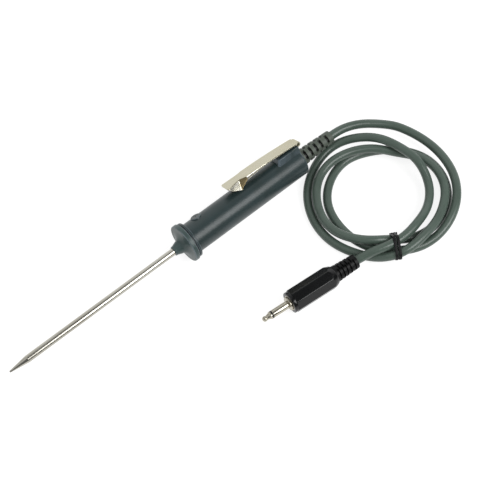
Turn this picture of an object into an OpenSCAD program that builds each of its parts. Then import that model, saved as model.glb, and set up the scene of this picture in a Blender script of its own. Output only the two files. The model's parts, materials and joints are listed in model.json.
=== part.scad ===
// Handheld penetration probe: a pointed steel needle in a round plastic handle with a
// finger flange and a pocket clip, and a thin cable in loose tied loops that ends in a
// two-pole 3.5 mm jack plug. Millimetres. +X runs from the needle's point to the cable,
// +Z is up, and the table is at z = 0.

/* [Needle] */
// Outer diameter of the needle
needle_d = 3.3; // [2.5:0.1:4]
// Length of the needle in front of the nose, with its point
needle_l = 86.4; // [60:0.2:140]
// Length of the conical point
point_l = 9; // [6:0.5:14]
// Diameter of the point's blunt end
point_end_d = 0.8; // [0.4:0.1:1.2]
// Wall of the needle's tube
needle_wall = 0.25; // [0.15:0.05:0.4]
// Length of the needle held inside the handle
needle_held_l = 16; // [13:0.5:24]

/* [Nose and finger flange] */
// Wall of the nose round the needle, at its tip
nose_lip = 0.5; // [0.4:0.1:1.2]
// Diameter of the nose's neck, where its flare starts
nose_neck_d = 6; // [5.4:0.2:8]
// Length of the nose from its tip to its neck
nose_neck_l = 2.9; // [2:0.1:5]
// Length of the flare from the neck to the flange
nose_flare_l = 2.6; // [1.5:0.1:5]
// Diameter of the finger flange
flange_d = 18; // [16.6:0.2:24]
// Thickness of the flange's front disc
flange_front_t = 2.2; // [1.4:0.1:4]
// Diameter of the flange's rear rim
flange_rear_d = 17; // [15.8:0.2:22]
// Thickness of the flange's rear rim
flange_rear_t = 1.2; // [0.8:0.1:3]
// Width of the groove between disc and rim
groove_w = 0.5; // [0.3:0.1:1]
// Depth of the groove between disc and rim
groove_depth = 0.8; // [0.4:0.1:1.2]
// Length of the nose's spigot inside the barrel
spigot_l = 8; // [6:0.5:14]

/* [Barrel] */
// Outer diameter of the barrel
barrel_d = 14; // [12.6:0.2:15]
// Length of the barrel behind the flange
barrel_l = 62.2; // [55:0.2:90]
// Wall of the barrel
barrel_wall = 1.5; // [1:0.1:2]
// Thickness of the barrel's rear wall
rear_wall = 2; // [1.2:0.1:4]
// Rounding of the barrel's rear edge
rear_round = 0.9; // [0.3:0.1:1.2]
// Diameter of the round pad behind the flange
pad_d = 5.2; // [3:0.2:6]
// Height of the round pad above the barrel
pad_h = 0.5; // [0.2:0.1:1]
// Distance of the pad's middle behind the flange
pad_back = 6.9; // [4:0.1:14]
// Turn of the pad round the barrel from straight up
pad_turn = 43; // [20:1:60]

/* [Pocket clip] */
// Turn of the clip round the barrel from straight up
clip_turn = 30; // [0:1:40]
// Width of the clip's arm
clip_w = 6; // [4.6:0.2:7.4]
// Thickness of the clip's spring strip
clip_t = 0.6; // [0.4:0.05:0.8]
// Length of the clip's arm from its bend to its toe
clip_l = 38.6; // [30:0.2:46]
// Rise of the arm away from the barrel, in degrees
clip_rise = 2.5; // [1:0.1:4]
// Middle radius of the clip's rear bend
clip_bend_r = 0.95; // [0.8:0.05:1.3]
// Width of the clip's foot in its slot
foot_w = 4.6; // [3:0.2:5]
// Length of the clip's foot in its slot
foot_l = 8; // [4:0.5:10]
// Length of the toe's wings along the arm
wing_l = 10.6; // [8:0.2:14]
// Length of the barrel's boss that holds the clip
boss_l = 12.8; // [11:0.2:20]
// Width of the boss
boss_w = 6.6; // [6.2:0.2:7.6]
// Height of the boss above the barrel
boss_h = 1.85; // [1.8:0.05:2.2]

/* [Cable boot] */
// Length of the ribbed boot behind the barrel
boot_l = 18.4; // [14:0.2:26]
// Diameter of the boot's first rib
boot_d = 6.4; // [6:0.2:8]
// Diameter of the boot's last rib
boot_end_d = 4.9; // [4.8:0.1:5.8]
// Wall of the boot's core round the cable
boot_core_wall = 0.2; // [0.15:0.05:0.3]
// Number of ribs on the boot
boot_ribs = 6; // [3:1:7]
// Diameter of the boot's collar inside the barrel
boot_collar_d = 9; // [8.6:0.2:9.4]
// Thickness of the boot's collar
boot_collar_t = 1.5; // [1:0.1:3]

/* [Cable] */
// Diameter of the cable
cable_d = 4; // [3:0.1:4]
// Diameter of one insulated core
core_d = 1.2; // [0.8:0.1:1.3]

/* [Plug] */
// Diameter of the plug's pin
pin_d = 3.5; // [2.5:0.1:3.5]
// Length of the plug's pin
pin_l = 14; // [11:0.1:15]
// Length of the pin's contact tip
pin_tip_l = 4.3; // [3:0.1:5]
// Length of the insulator ring behind the tip
pin_ring_l = 0.7; // [0.5:0.1:1.2]
// Diameter of the metal collar at the pin's root
washer_d = 6.4; // [5.6:0.1:7.6]
// Thickness of the metal collar
washer_t = 0.8; // [0.5:0.1:1.2]
// Diameter of the hood across its corners
hood_d = 10.8; // [10:0.2:13]
// Turn of the hood's lowest corner from straight down
hood_turn = 9; // [0:1:22]
// Length of the hood
hood_l = 23.5; // [22:0.5:32]
// Length of the ribbed tail behind the hood
tail_l = 11.5; // [7:0.5:16]
// Diameter of the tail's first rib
tail_d = 6.9; // [6.2:0.1:8]
// Diameter of the tail's last rib
tail_end_d = 5.6; // [5.2:0.1:6.2]
// Number of ribs on the tail
tail_ribs = 6; // [3:1:7]

/* [Inside] */
// Diameter of the sensor bead
bead_d = 1.2; // [0.8:0.1:1.4]
// Diameter of a bare sensor lead
lead_d = 0.3; // [0.2:0.05:0.4]
// Clearance of a seated or sliding fit
fit = 0.05; // [0.02:0.01:0.1]
// Clearance between pieces that rest beside each other
seat = 0.15; // [0.1:0.05:0.3]

/* [Hidden] */
$fn = 48;

// Places along the probe's axis
nose_l = nose_neck_l + nose_flare_l;
probe_l = needle_l + nose_l + flange_front_t + groove_w + flange_rear_t + barrel_l + boot_l;
x_point = -probe_l / 2;
x_nose = x_point + needle_l;
x_disc = x_nose + nose_l;
x_rim = x_disc + flange_front_t + groove_w;
x_barrel = x_rim + flange_rear_t;
x_rear = x_barrel + barrel_l;
x_wall = x_rear - rear_wall;
x_boot_end = x_rear + boot_l;
axis_z = flange_d / 2;
bore_d = barrel_d - 2 * barrel_wall;

// Inside the needle
x_tube = x_point + point_l;
x_tube_end = x_nose + needle_held_l;
held_d = needle_d - 0.5;
held_bore = held_d - 2 * needle_wall;
x_held = x_nose - 0.4;
tube_bore = needle_d - 2 * needle_wall;
plug_in_l = 3;
pocket_d = tube_bore - 0.8;
pocket_l = 5;
x_pocket = x_tube + plug_in_l - pocket_l;
x_bead = x_pocket + 0.8 + bead_d / 2;
lead_off = bead_d / 4;
tinned_d = 1.1 * lead_d;
x_sleeve = x_tube + plug_in_l + 0.5;
x_splay = x_tube_end + 3.5;

// Inside the handle
ferrule_d = 6.4;
ferrule_l = 3;
x_ferrule = x_disc + flange_front_t + 2;
x_joint = x_tube_end + 9;
joint_l = 4;
joint_d = 1.3;
core_off = max(core_d / 2 + 0.1, joint_d / 2 + 0.65);
sleeve_wall = 0.35;
x_collar = x_wall - boot_collar_t;
crimp_l = 4;
crimp_d = cable_d + 1.6;
x_crimp = x_collar - crimp_l;
x_cable_end = x_crimp - 3;

// Pocket clip, seen along its width: x along the probe, r from the barrel's axis
barrel_r = barrel_d / 2;
boss_r = barrel_r + boss_h;
foot_r = barrel_r + 0.25 + clip_t / 2;
bend_r = foot_r + clip_bend_r;
bend_x = x_rear + 0.4;
bend_gap = 8;
toe_x = bend_x - clip_l;
wing_seat_r = barrel_r + clip_t / 2 + seat;
function arm_r(x) = bend_r + clip_bend_r / cos(clip_rise) + (bend_x - x) * tan(clip_rise);

// Plug, lying on the table with its pin towards -X
hood_flat_r = hood_d / 2 * cos(22.5);
plug_z = hood_d / 2 * cos(hood_turn);
plug_turn = 174.8;
tail_mouth = [x_boot_end - 31.8, -52.6, plug_z];
plug_dir = [cos(plug_turn), sin(plug_turn), 0];
plug_face = tail_mouth + (tail_l + hood_l) * plug_dir;
hood_bore_d = 7.2;
hood_rear_wall = 3;
body_l = 8;
body_d = hood_bore_d - 2 * fit;
rod_d = 1.3;
sleeve_bore = 2.3;
root_d = pin_d - 0.5;
root_l = washer_t + 0.4;
thread_l = 3.5;
tail_root_d = cable_d + 2 * boot_core_wall + 0.9;
tail_flange_t = 1.5;
tag_t = 0.5;
wire_off = 1.3;
tag_z = -body_l - 1.6;
clamp_z = -hood_l + hood_rear_wall + tail_flange_t + 0.5;
clamp_l = 3;
jacket_z = clamp_z + clamp_l + 0.5;

// ---------------------------------------------------------------- cable route
// The cable leaves the boot along +X and runs clockwise round the coil's middle. Its
// reach from the middle is set by hand every 30 degrees of turn, and its height at the
// places where it lies on the table, on other turns, or climbs over them.
coil_mid = [x_boot_end, -35];
coil_reach = [
    35, 34.5, 34, 33.5, 33.5, 32.5, 30.5, 28, 26, 24.5, 24.5, 24,
    24, 23.5, 25.5, 29, 30, 28.5, 25.5, 23.2, 26, 29.5, 29.5, 28.5,
    25, 22.5, 22, 26, 28, 27.5, 28, 31.5, 31, 32.5, 33, 33,
    32.5, 27.5, 22.5, 21.5, 21.5, 21, 22, 26.3
];
// [turn in degrees, height of the cable's centre line]
coil_height = [
    [0, 9], [20, 9], [80, 6], [127, 6], [188, 2], [204, 2.6], [214, 2.6], [232, 2],
    [548, 2], [592, 6.7], [606, 6.7], [645, 5.4], [680, 5.4], [712, 6.6], [745, 6.6],
    [785, 5.2], [825, 6.5], [885, 6.5], [900, 7.1], [917, 7.1], [958, 2], [1050, 2],
    [1135, 10], [1160, 10], [1205, 5], [1225, 5], [1260, 7.9], [1290, 7.9]
];
coil_start = 60;
coil_end = 1290;
tie_turn = 210;
coil_step = 15;
coil_sides = 6;
lead_sides = 8;
straight_l = 4;
// Where the free cable runs between the boot and the coil, from the boot's end
lead_points = [
    [4.2, 0, 9], [8.8, -0.9, 9], [13.4, -2.7, 8.8], [17.8, -5.3, 8.4], [21.8, -8.6, 7.9],
    [25.2, -11.6, 7.4]
];
// Where it runs between the tie and the plug, from the boot's end
tail_points = [[-20.4, -55.9, 7.9], [-24.4, -54.4, 7.1], [-27.9, -53.3, 6.2]];

function smooth(x) = x * x * (3 - 2 * x);
function ramp(list, s, i = 0) =
    i >= len(list) - 2 || s < list[i + 1][0]
        ? list[i][1] + (list[i + 1][1] - list[i][1])
            * smooth(min(1, max(0, (s - list[i][0]) / (list[i + 1][0] - list[i][0]))))
        : ramp(list, s, i + 1);
function pick(list, i) =
    i < 0 ? 2 * list[0] - list[1]
        : i >= len(list) ? 2 * list[len(list) - 1] - list[len(list) - 2] : list[i];
function blend(a, b, c, d, f) =
    (2 * b + (c - a) * f + (2 * a - 5 * b + 4 * c - d) * f * f
        + (3 * b - a - 3 * c + d) * f * f * f) / 2;
function spline(list, t, i) =
    blend(pick(list, i - 1), pick(list, i), pick(list, i + 1), pick(list, i + 2), t - i);
function reach_at(s) = spline(coil_reach, s / 30, min(floor(s / 30), len(coil_reach) - 2));
// Reach of a run under the tie; the last run leaves the coil there and goes straight on
function run_reach(s) =
    s <= coil_end ? reach_at(s) : 2 * reach_at(coil_end) - reach_at(2 * coil_end - s);
function coil_point(s) = [
    coil_mid.x + reach_at(s) * cos(90 - s),
    coil_mid.y + reach_at(s) * sin(90 - s),
    ramp(coil_height, s) * cable_d / 4
];
function unit(v) = v / norm(v);
coil_path = [for (s = [coil_start : coil_step : coil_end]) coil_point(s)];
coil_last = len(coil_path) - 1;
lead_join = coil_path[0] - straight_l * unit(coil_path[1] - coil_path[0]);
tail_join = coil_path[coil_last]
    + straight_l * unit(coil_path[coil_last] - coil_path[coil_last - 1]);
boot_end = [x_boot_end, 0, 0];
lead_path = concat(
    [boot_end + [0, 0, axis_z]], [for (p = lead_points) boot_end + p], [lead_join, coil_path[0]]
);
tail_path = concat([coil_path[coil_last], tail_join], [for (p = tail_points) boot_end + p], [tail_mouth]);

// Least gap of the coil to itself, on points a third of a step apart
gap_points = [
    for (i = [0 : coil_last - 1], k = [0 : 2])
        coil_path[i] + (coil_path[i + 1] - coil_path[i]) * k / 3
];
coil_gap = min([
    for (i = [0 : len(gap_points) - 1], j = [i + 8 : 1 : len(gap_points) - 1])
        norm(gap_points[i] - gap_points[j])
]) - cable_d;
echo(coil_gap = coil_gap);
function run(path) = len(path) < 2 ? 0
    : [for (i = [0 : len(path) - 2]) norm(path[i + 1] - path[i])] * [for (i = [0 : len(path) - 2]) 1];
echo(cable_length = run(lead_path) + run(coil_path) + run(tail_path));

// ---------------------------------------------------------------- shared shapes
// Local z runs along +X from the given place on the probe's axis
module on_axis(x) translate([x, 0, axis_z]) rotate([0, 90, 0]) children();

// Local x runs along the probe, y across the clip and z out of the barrel
module turned_side(turn) translate([0, 0, axis_z]) rotate([-turn, 0, 0]) children();

// Local z runs from the hood's front face towards the pin's tip
module on_plug(z = 0)
    translate(plug_face) rotate([0, 0, plug_turn]) rotate([0, 90, 0]) translate([0, 0, z]) children();

module pipe(l, d, bore) {
    difference() {
        cylinder(d = d, h = l);
        translate([0, 0, -1]) cylinder(d = bore, h = l + 2);
    }
}

// A round rod between two points
module rod(from, to, d) {
    along = to - from;
    translate(from) rotate([0, acos(along.z / norm(along)), atan2(along.y, along.x)])
        cylinder(d = d, h = norm(along));
}

// Points on an arc in a turned profile, as [radius, height]
function arc(mid, r, a0, a1, n = 5) =
    [for (i = [0 : n]) mid + r * [cos(a0 + (a1 - a0) * i / n), sin(a0 + (a1 - a0) * i / n)]];

// One closed tube swept along a path, with its end faces square to the path
function direction(path, i) =
    i == 0 ? unit(path[1] - path[0])
        : i == len(path) - 1 ? unit(path[i] - path[i - 1])
        : unit(unit(path[i] - path[i - 1]) + unit(path[i + 1] - path[i]));
function ring(p, dir, r, sides) =
    let (side = unit(cross(dir, [0, 0, 1])), up = cross(side, dir))
        [for (k = [0 : sides - 1]) let (a = 90 + 360 * k / sides) p + r * (cos(a) * side + sin(a) * up)];
module swept(path, d, sides, first = undef, last = undef) {
    end = len(path) - 1;
    dirs = [
        for (i = [0 : end])
            i == 0 && !is_undef(first) ? first : i == end && !is_undef(last) ? last : direction(path, i)
    ];
    points = [for (i = [0 : end]) each ring(path[i], dirs[i], d / 2, sides)];
    walls = [
        for (i = [0 : end - 1], k = [0 : sides - 1])
            let (a = i * sides + k, b = i * sides + (k + 1) % sides, c = a + sides, e = b + sides)
                each [[a, c, b], [b, c, e]]
    ];
    start_cap = [for (k = [1 : sides - 2]) [0, k, k + 1]];
    end_cap = [for (k = [1 : sides - 2]) [end * sides, end * sides + k + 1, end * sides + k]];
    polyhedron(points = points, faces = concat(walls, start_cap, end_cap), convexity = 10);
}

// A ribbed sleeve: a core with ribs that step down in diameter, joined by two spines
module ribbed_sleeve(l, d0, d1, core, bore, ribs, spine_turn) {
    pitch = l / ribs;
    rib_l = pitch * 0.55;
    core_l = l - rib_l / 2;
    spine_w = 1.7;
    spine_drop = 0.5;
    difference() {
        union() {
            cylinder(d = core, h = core_l);
            for (i = [0 : ribs - 1])
                translate([0, 0, i < ribs - 1 ? i * pitch : l - rib_l])
                    cylinder(d = d0 + (d1 - d0) * i / (ribs - 1), h = rib_l);
            intersection() {
                rotate([0, 0, spine_turn])
                    translate([-d0, -spine_w / 2, 0]) cube([2 * d0, spine_w, core_l]);
                cylinder(d1 = d0 - spine_drop, d2 = d1 - spine_drop / 2, h = l);
            }
        }
        translate([0, 0, -1]) cylinder(d = bore, h = l + 2);
    }
}

// ---------------------------------------------------------------- needle
module needle_tube() color("#B8B4A8")
    on_axis(x_tube) difference() {
        union() {
            cylinder(d = needle_d, h = x_held - x_tube);
            cylinder(d = held_d, h = x_tube_end - x_tube);
        }
        translate([0, 0, -1]) cylinder(d = held_bore, h = x_tube_end - x_tube + 2);
        translate([0, 0, -1]) cylinder(d = tube_bore, h = x_held - needle_wall - x_tube + 1);
    }

module needle_point() color("#B8B4A8")
    on_axis(x_point) difference() {
        union() {
            cylinder(d1 = point_end_d, d2 = needle_d, h = point_l);
            translate([0, 0, point_l - 0.2]) cylinder(d = tube_bore - 2 * fit, h = plug_in_l + 0.2);
        }
        translate([0, 0, x_pocket - x_point]) cylinder(d = pocket_d, h = pocket_l + 1);
    }

module sensor_bead() color("#2F4A3A")
    on_axis(x_bead) sphere(d = bead_d);

module lead_pair(x0, x1, off, d) {
    for (side = [-1, 1])
        translate([0, side * off, 0]) on_axis(x0) cylinder(d = d, h = x1 - x0);
}

module thermal_fill() color("#D8D4C8")
    difference() {
        on_axis(x_pocket + fit) cylinder(d = pocket_d - 2 * fit, h = pocket_l - 2 * fit);
        on_axis(x_bead) sphere(d = bead_d + 2 * fit);
        lead_pair(x_bead, x_tube + plug_in_l + 1, lead_off, lead_d + 2 * fit);
    }

module sensor_leads() color("#C98A4B")
    difference() {
        union() {
            lead_pair(x_bead, x_splay, lead_off, lead_d);
            for (side = [-1, 1])
                rod([x_splay - lead_d, side * lead_off, axis_z], [x_joint, side * core_off, axis_z], tinned_d);
        }
        on_axis(x_bead) sphere(d = bead_d + fit);
    }

module lead_sleeve() color("#E8E6DA")
    on_axis(x_sleeve)
        pipe(x_splay - x_sleeve, held_bore - 2 * seat, 2 * lead_off + lead_d + 2 * seat);

// ---------------------------------------------------------------- nose
module nose_cap() color("#565E66")
    on_axis(x_nose) difference() {
        flare_r = flange_d / 2 - 1;
        neck_r = nose_neck_d / 2;
        tip_r = needle_d / 2 + nose_lip;
        tip_edge = 0.3;
        lead_in = 0.5;
        disc_z = nose_l;
        back_z = disc_z + flange_front_t;
        seat_z = back_z + groove_w;
        round_r = min(0.6, flange_front_t / 3);
        rotate_extrude() polygon(concat(
            [[0, 0], [tip_r - tip_edge / 3, 0], [tip_r, tip_edge], [tip_r + tip_edge / 3, 3 * tip_edge]],
            [for (a = [0 : 15 : 90])
                [flare_r - (flare_r - neck_r) * cos(a), nose_neck_l + nose_flare_l * sin(a)]],
            arc([flange_d / 2 - round_r, disc_z + round_r], round_r, -90, 0),
            arc([flange_d / 2 - round_r, back_z - round_r], round_r, 0, 90),
            [
                [flange_d / 2 - groove_depth, back_z], [flange_d / 2 - groove_depth, seat_z],
                [bore_d / 2 - fit, seat_z], [bore_d / 2 - fit, seat_z + spigot_l - lead_in],
                [bore_d / 2 - fit - lead_in, seat_z + spigot_l], [0, seat_z + spigot_l]
            ]
        ));
        translate([0, 0, -1]) cylinder(d = held_d + 2 * fit, h = nose_l + spigot_l + 9);
        translate([0, 0, x_ferrule - x_nose]) cylinder(d = ferrule_d + 2 * fit, h = spigot_l + 9);
    }

module needle_ferrule() color("#B59A55")
    on_axis(x_ferrule) pipe(ferrule_l, ferrule_d, held_d + 2 * fit);

// ---------------------------------------------------------------- barrel
module barrel_shell() {
    rim_r = flange_rear_d / 2;
    rim_round = min(0.4, flange_rear_t / 3);
    root_fillet = 0.3;
    end_z = x_rear - x_rim;
    on_axis(x_rim) rotate_extrude() polygon(concat(
        [[0, 0], [flange_d / 2 - groove_depth, 0]],
        [[rim_r - rim_round, 0]],
        arc([rim_r - rim_round, rim_round], rim_round, -60, 0),
        arc([rim_r - rim_round, flange_rear_t - rim_round], rim_round, 0, 90),
        [[barrel_r + root_fillet, flange_rear_t], [barrel_r, flange_rear_t + root_fillet]],
        arc([barrel_r - rear_round, end_z - rear_round], rear_round, 0, 90),
        [[0, end_z]]
    ));
}

module clip_boss() {
    chamfer = 1;
    turned_side(clip_turn)
        linear_extrude(boss_r) polygon([
            [x_rear - boss_l, -boss_w / 2 + chamfer], [x_rear - boss_l + chamfer, -boss_w / 2],
            [x_rear, -boss_w / 2], [x_rear, boss_w / 2],
            [x_rear - boss_l + chamfer, boss_w / 2], [x_rear - boss_l, boss_w / 2 - chamfer]
        ]);
}

module round_pad() {
    groove_t = 0.6;
    groove_h = 0.2;
    turned_side(pad_turn) translate([x_barrel + pad_back, 0, 0]) difference() {
        cylinder(d = pad_d, h = barrel_r + pad_h);
        translate([0, 0, barrel_r + pad_h - groove_h])
            pipe(1, pad_d - 2 * groove_t, pad_d - 4 * groove_t);
    }
}

module barrel() color("#40494F")
    difference() {
        union() {
            barrel_shell();
            clip_boss();
            round_pad();
        }
        on_axis(x_rim - 1) cylinder(d = bore_d, h = x_wall - x_rim + 1);
        on_axis(x_wall - 1) cylinder(d = boot_d + 2 * fit, h = rear_wall + 2);
        turned_side(clip_turn)
            translate([x_rear - foot_l - seat, -foot_w / 2 - fit, foot_r - clip_t / 2 - fit])
                cube([foot_l + seat + 1, foot_w + 2 * fit, clip_t + 2 * fit]);
    }

// ---------------------------------------------------------------- pocket clip
// A quarter of the clip's bend, as a flat outline round the bend's middle
module bend_outline(a0, a1) {
    reach = 3 * (clip_bend_r + clip_t);
    intersection() {
        difference() {
            circle(r = clip_bend_r + clip_t / 2);
            circle(r = clip_bend_r - clip_t / 2);
        }
        polygon([[0, 0], reach * [cos(a0), sin(a0)], reach * [cos((a0 + a1) / 2), sin((a0 + a1) / 2)],
            reach * [cos(a1), sin(a1)]]);
    }
}

// Extrudes an outline drawn along and out of the barrel across the clip's width
module across(w) rotate([90, 0, 0]) translate([0, 0, -w / 2]) linear_extrude(w) children();

module arm_plan() {
    toe_round = 0.8;
    toe_cut = 1;
    narrow_l = 3;
    bend_w = foot_w + 0.6;
    end_w = foot_w + 0.2;
    end_x = bend_x + 4 * clip_bend_r;
    translate([0, 0, barrel_r]) linear_extrude(4 * clip_w) polygon([
        [toe_x - toe_cut, -clip_w / 2 + toe_round], [toe_x + toe_round / 2, -clip_w / 2],
        [bend_x - narrow_l, -clip_w / 2], [bend_x, -bend_w / 2],
        [end_x, -end_w / 2], [end_x, end_w / 2],
        [bend_x, bend_w / 2], [bend_x - narrow_l, clip_w / 2],
        [toe_x + toe_round / 2, clip_w / 2], [toe_x - toe_cut, clip_w / 2 - toe_round]
    ]);
}

module wing_plate(corners) {
    hull() {
        for (c = corners) translate(c) sphere(d = clip_t, $fn = 16);
    }
}

// One wing of the toe: two leaves that meet in a ridge and end just above the barrel
module toe_wing(side) {
    edge = clip_w / 2 - clip_t / 2;
    inset = 0.1;
    front_h = 1.3;
    rear_h = 0.9;
    sole_l = 2.6;
    foot_in = edge * 0.75;
    foot_out_r = sqrt(wing_seat_r * wing_seat_r - foot_in * foot_in);
    x0 = toe_x + 0.4;
    x1 = toe_x + wing_l * 0.62;
    x2 = toe_x + wing_l;
    ridge_top = [x1, side * edge, arm_r(x1)];
    ridge_foot = [x1 - 3 * inset, side * foot_in, foot_out_r];
    wing_plate([
        [x0, side * (edge - inset), arm_r(x0)],
        [x0 + 5 * inset, side * (edge - 2 * inset), arm_r(x0) - front_h],
        [x1 - sole_l, side * (foot_in + inset), foot_out_r + 4 * inset],
        ridge_foot, ridge_top
    ]);
    wing_plate([
        ridge_top, ridge_foot,
        [x2, side * (edge - 2 * inset), arm_r(x2) - rear_h], [x2, side * (edge - inset), arm_r(x2)]
    ]);
}

// A shallow lip along each side of the arm that runs out towards the bend
module side_lip(side) {
    lip_h = 1.2;
    x0 = toe_x + wing_l - clip_t / 2;
    x1 = toe_x + 2.05 * wing_l;
    translate([0, side * (clip_w - clip_t) / 2, 0]) across(clip_t)
        polygon([[x0, arm_r(x0)], [x0, arm_r(x0) - lip_h], [x1, arm_r(x1)]]);
}

module clip_arm() color("#CFC9B0")
    turned_side(clip_turn) {
        intersection() {
            translate([bend_x, 0, bend_r]) across(2 * clip_w) {
                rotate(-clip_rise) translate([-clip_l, clip_bend_r - clip_t / 2]) square([clip_l, clip_t]);
                bend_outline(90 - clip_rise, bend_gap);
            }
            arm_plan();
        }
        for (side = [-1, 1]) {
            toe_wing(side);
            side_lip(side);
        }
    }

module clip_foot() color("#B8AC88")
    turned_side(clip_turn) translate([bend_x, 0, bend_r]) across(foot_w) {
        translate([x_rear - foot_l - bend_x, -clip_bend_r - clip_t / 2])
            square([bend_x - x_rear + foot_l, clip_t]);
        bend_outline(0, -90);
    }

// ---------------------------------------------------------------- inside the handle
module lead_joints() color("#C8C8C4")
    lead_pair(x_joint + fit, x_joint + joint_l, core_off, joint_d);

module joint_sleeves() color("#1E1F22")
    for (side = [-1, 1])
        translate([0, side * core_off, 0]) on_axis(x_joint - 1)
            pipe(joint_l + 3, joint_d + 2 * fit + 2 * sleeve_wall, joint_d + 2 * fit);

module cable_cores() color("#A03028")
    lead_pair(x_joint + joint_l + fit, x_cable_end - fit, core_off, min(core_d, joint_d));

module cable_crimp() color("#B87333")
    on_axis(x_crimp) pipe(crimp_l - fit, crimp_d, cable_d + 2 * fit);

module cable_end() color("#5A6A62")
    on_axis(x_cable_end) cylinder(d = cable_d, h = x_boot_end - x_cable_end);

module cable_boot() color("#4A4C4A") {
    on_axis(x_collar) pipe(boot_collar_t, boot_collar_d, cable_d + 2 * fit);
    on_axis(x_wall - 0.01) pipe(rear_wall + 0.02, boot_d, cable_d + 2 * fit);
    on_axis(x_rear)
        ribbed_sleeve(boot_l, boot_d, boot_end_d, cable_d + 2 * fit + 2 * boot_core_wall,
            cable_d + 2 * fit, boot_ribs, -35);
}

// ---------------------------------------------------------------- free cable
module cable_lead() color("#5A6A62")
    swept(lead_path, cable_d, lead_sides, [1, 0, 0], unit(coil_path[1] - coil_path[0]));

module cable_coil() color("#5A6A62") swept(coil_path, cable_d, coil_sides);

module cable_tail() color("#5A6A62")
    swept(tail_path, cable_d, lead_sides,
        unit(coil_path[coil_last] - coil_path[coil_last - 1]), plug_dir);

// Two turns of wire tie round the four runs of cable, and its twisted end
module tie_outline(grow) {
    r = cable_d / 2 + grow;
    spread = 3.5;
    hull() {
        for (s = [tie_turn : 360 : coil_end], d = [-spread, spread])
            translate([run_reach(s + d), ramp(coil_height, s + d) * cable_d / 4])
                circle(r = r, $fn = 32);
    }
}

module twist_tie() color("#1E1F22") {
    tie_w = 1.2;
    tie_gap = 0.5;
    tie_t = 0.4;
    twist_d = 1.3;
    twist_l = 7;
    translate([coil_mid.x, coil_mid.y, 0]) rotate([90, 0, 90 - tie_turn]) {
        for (side = [-1, 1])
            translate([0, 0, (side * (tie_w + tie_gap) - tie_w) / 2]) linear_extrude(tie_w) difference() {
                tie_outline(seat + tie_t);
                tie_outline(seat);
            }
        translate([reach_at(tie_turn + 360) - cable_d / 2 - seat - tie_t - twist_d / 4, cable_d, -twist_l / 3])
            cylinder(d = twist_d, h = twist_l);
    }
}

// ---------------------------------------------------------------- plug
module plug_tip() color("#C0B8A0")
    on_plug() {
        neck = pin_l - pin_tip_l;
        rod_end = -body_l - 2;
        land_l = 0.5;
        waist_r = pin_d / 2 - 0.75;
        ball_r = pin_d / 2 - 0.5;
        rotate_extrude() polygon(concat(
            [
                [0, rod_end], [rod_d / 2, rod_end], [rod_d / 2, neck], [pin_d / 2, neck],
                [pin_d / 2, neck + land_l], [ball_r + 0.2, neck + land_l + 0.2],
                [waist_r + 0.05, pin_l - 1.75 * ball_r], [waist_r, pin_l - 1.6 * ball_r]
            ],
            [for (a = [-15 : 15 : 75]) [ball_r * cos(a), pin_l - ball_r + ball_r * sin(a)]],
            [[0, pin_l]]
        ));
    }

module plug_insulator() color("#141414")
    on_plug() {
        neck = pin_l - pin_tip_l;
        translate([0, 0, -body_l]) pipe(body_l + neck - pin_ring_l, sleeve_bore - 2 * fit, rod_d + 2 * fit);
        translate([0, 0, neck - pin_ring_l]) pipe(pin_ring_l - fit, pin_d, rod_d + 2 * fit);
    }

module plug_sleeve() color("#C0B8A0")
    on_plug() {
        sleeve_l = pin_l - pin_tip_l - pin_ring_l - fit;
        body_r = body_d / 2 - 1.2;
        rotate_extrude() polygon([
            [sleeve_bore / 2, -body_l], [body_r, -body_l], [body_r, -thread_l],
            [body_d / 2, -thread_l], [body_d / 2, 0], [root_d / 2, 0], [root_d / 2, root_l],
            [pin_d / 2, root_l], [pin_d / 2, sleeve_l], [sleeve_bore / 2, sleeve_l]
        ]);
    }

module plug_collar() color("#D8D4C4")
    on_plug(fit) pipe(washer_t, washer_d, root_d + 2 * fit);

module plug_hood() color("#1E1F22")
    on_plug(-hood_l) difference() {
        front_l = 1.6;
        bevel_l = 2;
        rear_lip = 0.8;
        union() {
            translate([0, 0, bevel_l]) rotate([0, 0, hood_turn])
                cylinder(d = hood_d, h = hood_l - bevel_l - front_l, $fn = 8);
            translate([0, 0, bevel_l]) cylinder(r = hood_flat_r - 0.1, h = hood_l - bevel_l);
            cylinder(d1 = tail_d + 2 * rear_lip, d2 = 2 * hood_flat_r, h = bevel_l);
        }
        translate([0, 0, hood_rear_wall]) cylinder(d = hood_bore_d, h = hood_l);
        translate([0, 0, -1]) cylinder(d = tail_root_d + 2 * fit, h = hood_l);
    }

module plug_tail() color("#1E1F22")
    on_plug(-hood_l) rotate([180, 0, 0]) {
        ribbed_sleeve(tail_l, tail_d, tail_end_d, cable_d + 2 * fit + 2 * boot_core_wall + 0.2,
            cable_d + 2 * fit, tail_ribs, 60);
        translate([0, 0, -hood_rear_wall - 0.01])
            pipe(hood_rear_wall + 0.02, tail_root_d, cable_d + 2 * fit);
        translate([0, 0, -hood_rear_wall - tail_flange_t])
            pipe(tail_flange_t, hood_bore_d - 1, cable_d + 2 * fit);
    }

module plug_tag() color("#C0B8A0")
    on_plug(tag_z) difference() {
        tag_w = rod_d + 1.2;
        translate([-wire_off, -tag_w / 2, 0]) cube([2 * wire_off, tag_w, tag_t]);
        translate([0, 0, -1]) cylinder(d = rod_d + 2 * fit, h = tag_t + 2);
    }

module plug_clamp() color("#C0B8A0")
    on_plug() {
        clamp_wall = 0.6;
        strip_w = 2.4;
        strip_z = clamp_z + clamp_l - 0.01;
        translate([0, 0, clamp_z]) pipe(clamp_l, cable_d + 2 * clamp_wall, cable_d + 2 * fit);
        translate([-strip_w / 2, cable_d / 2 + 2 * fit, strip_z])
            cube([strip_w, clamp_wall - 2 * fit, -body_l - strip_z - fit]);
    }

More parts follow.
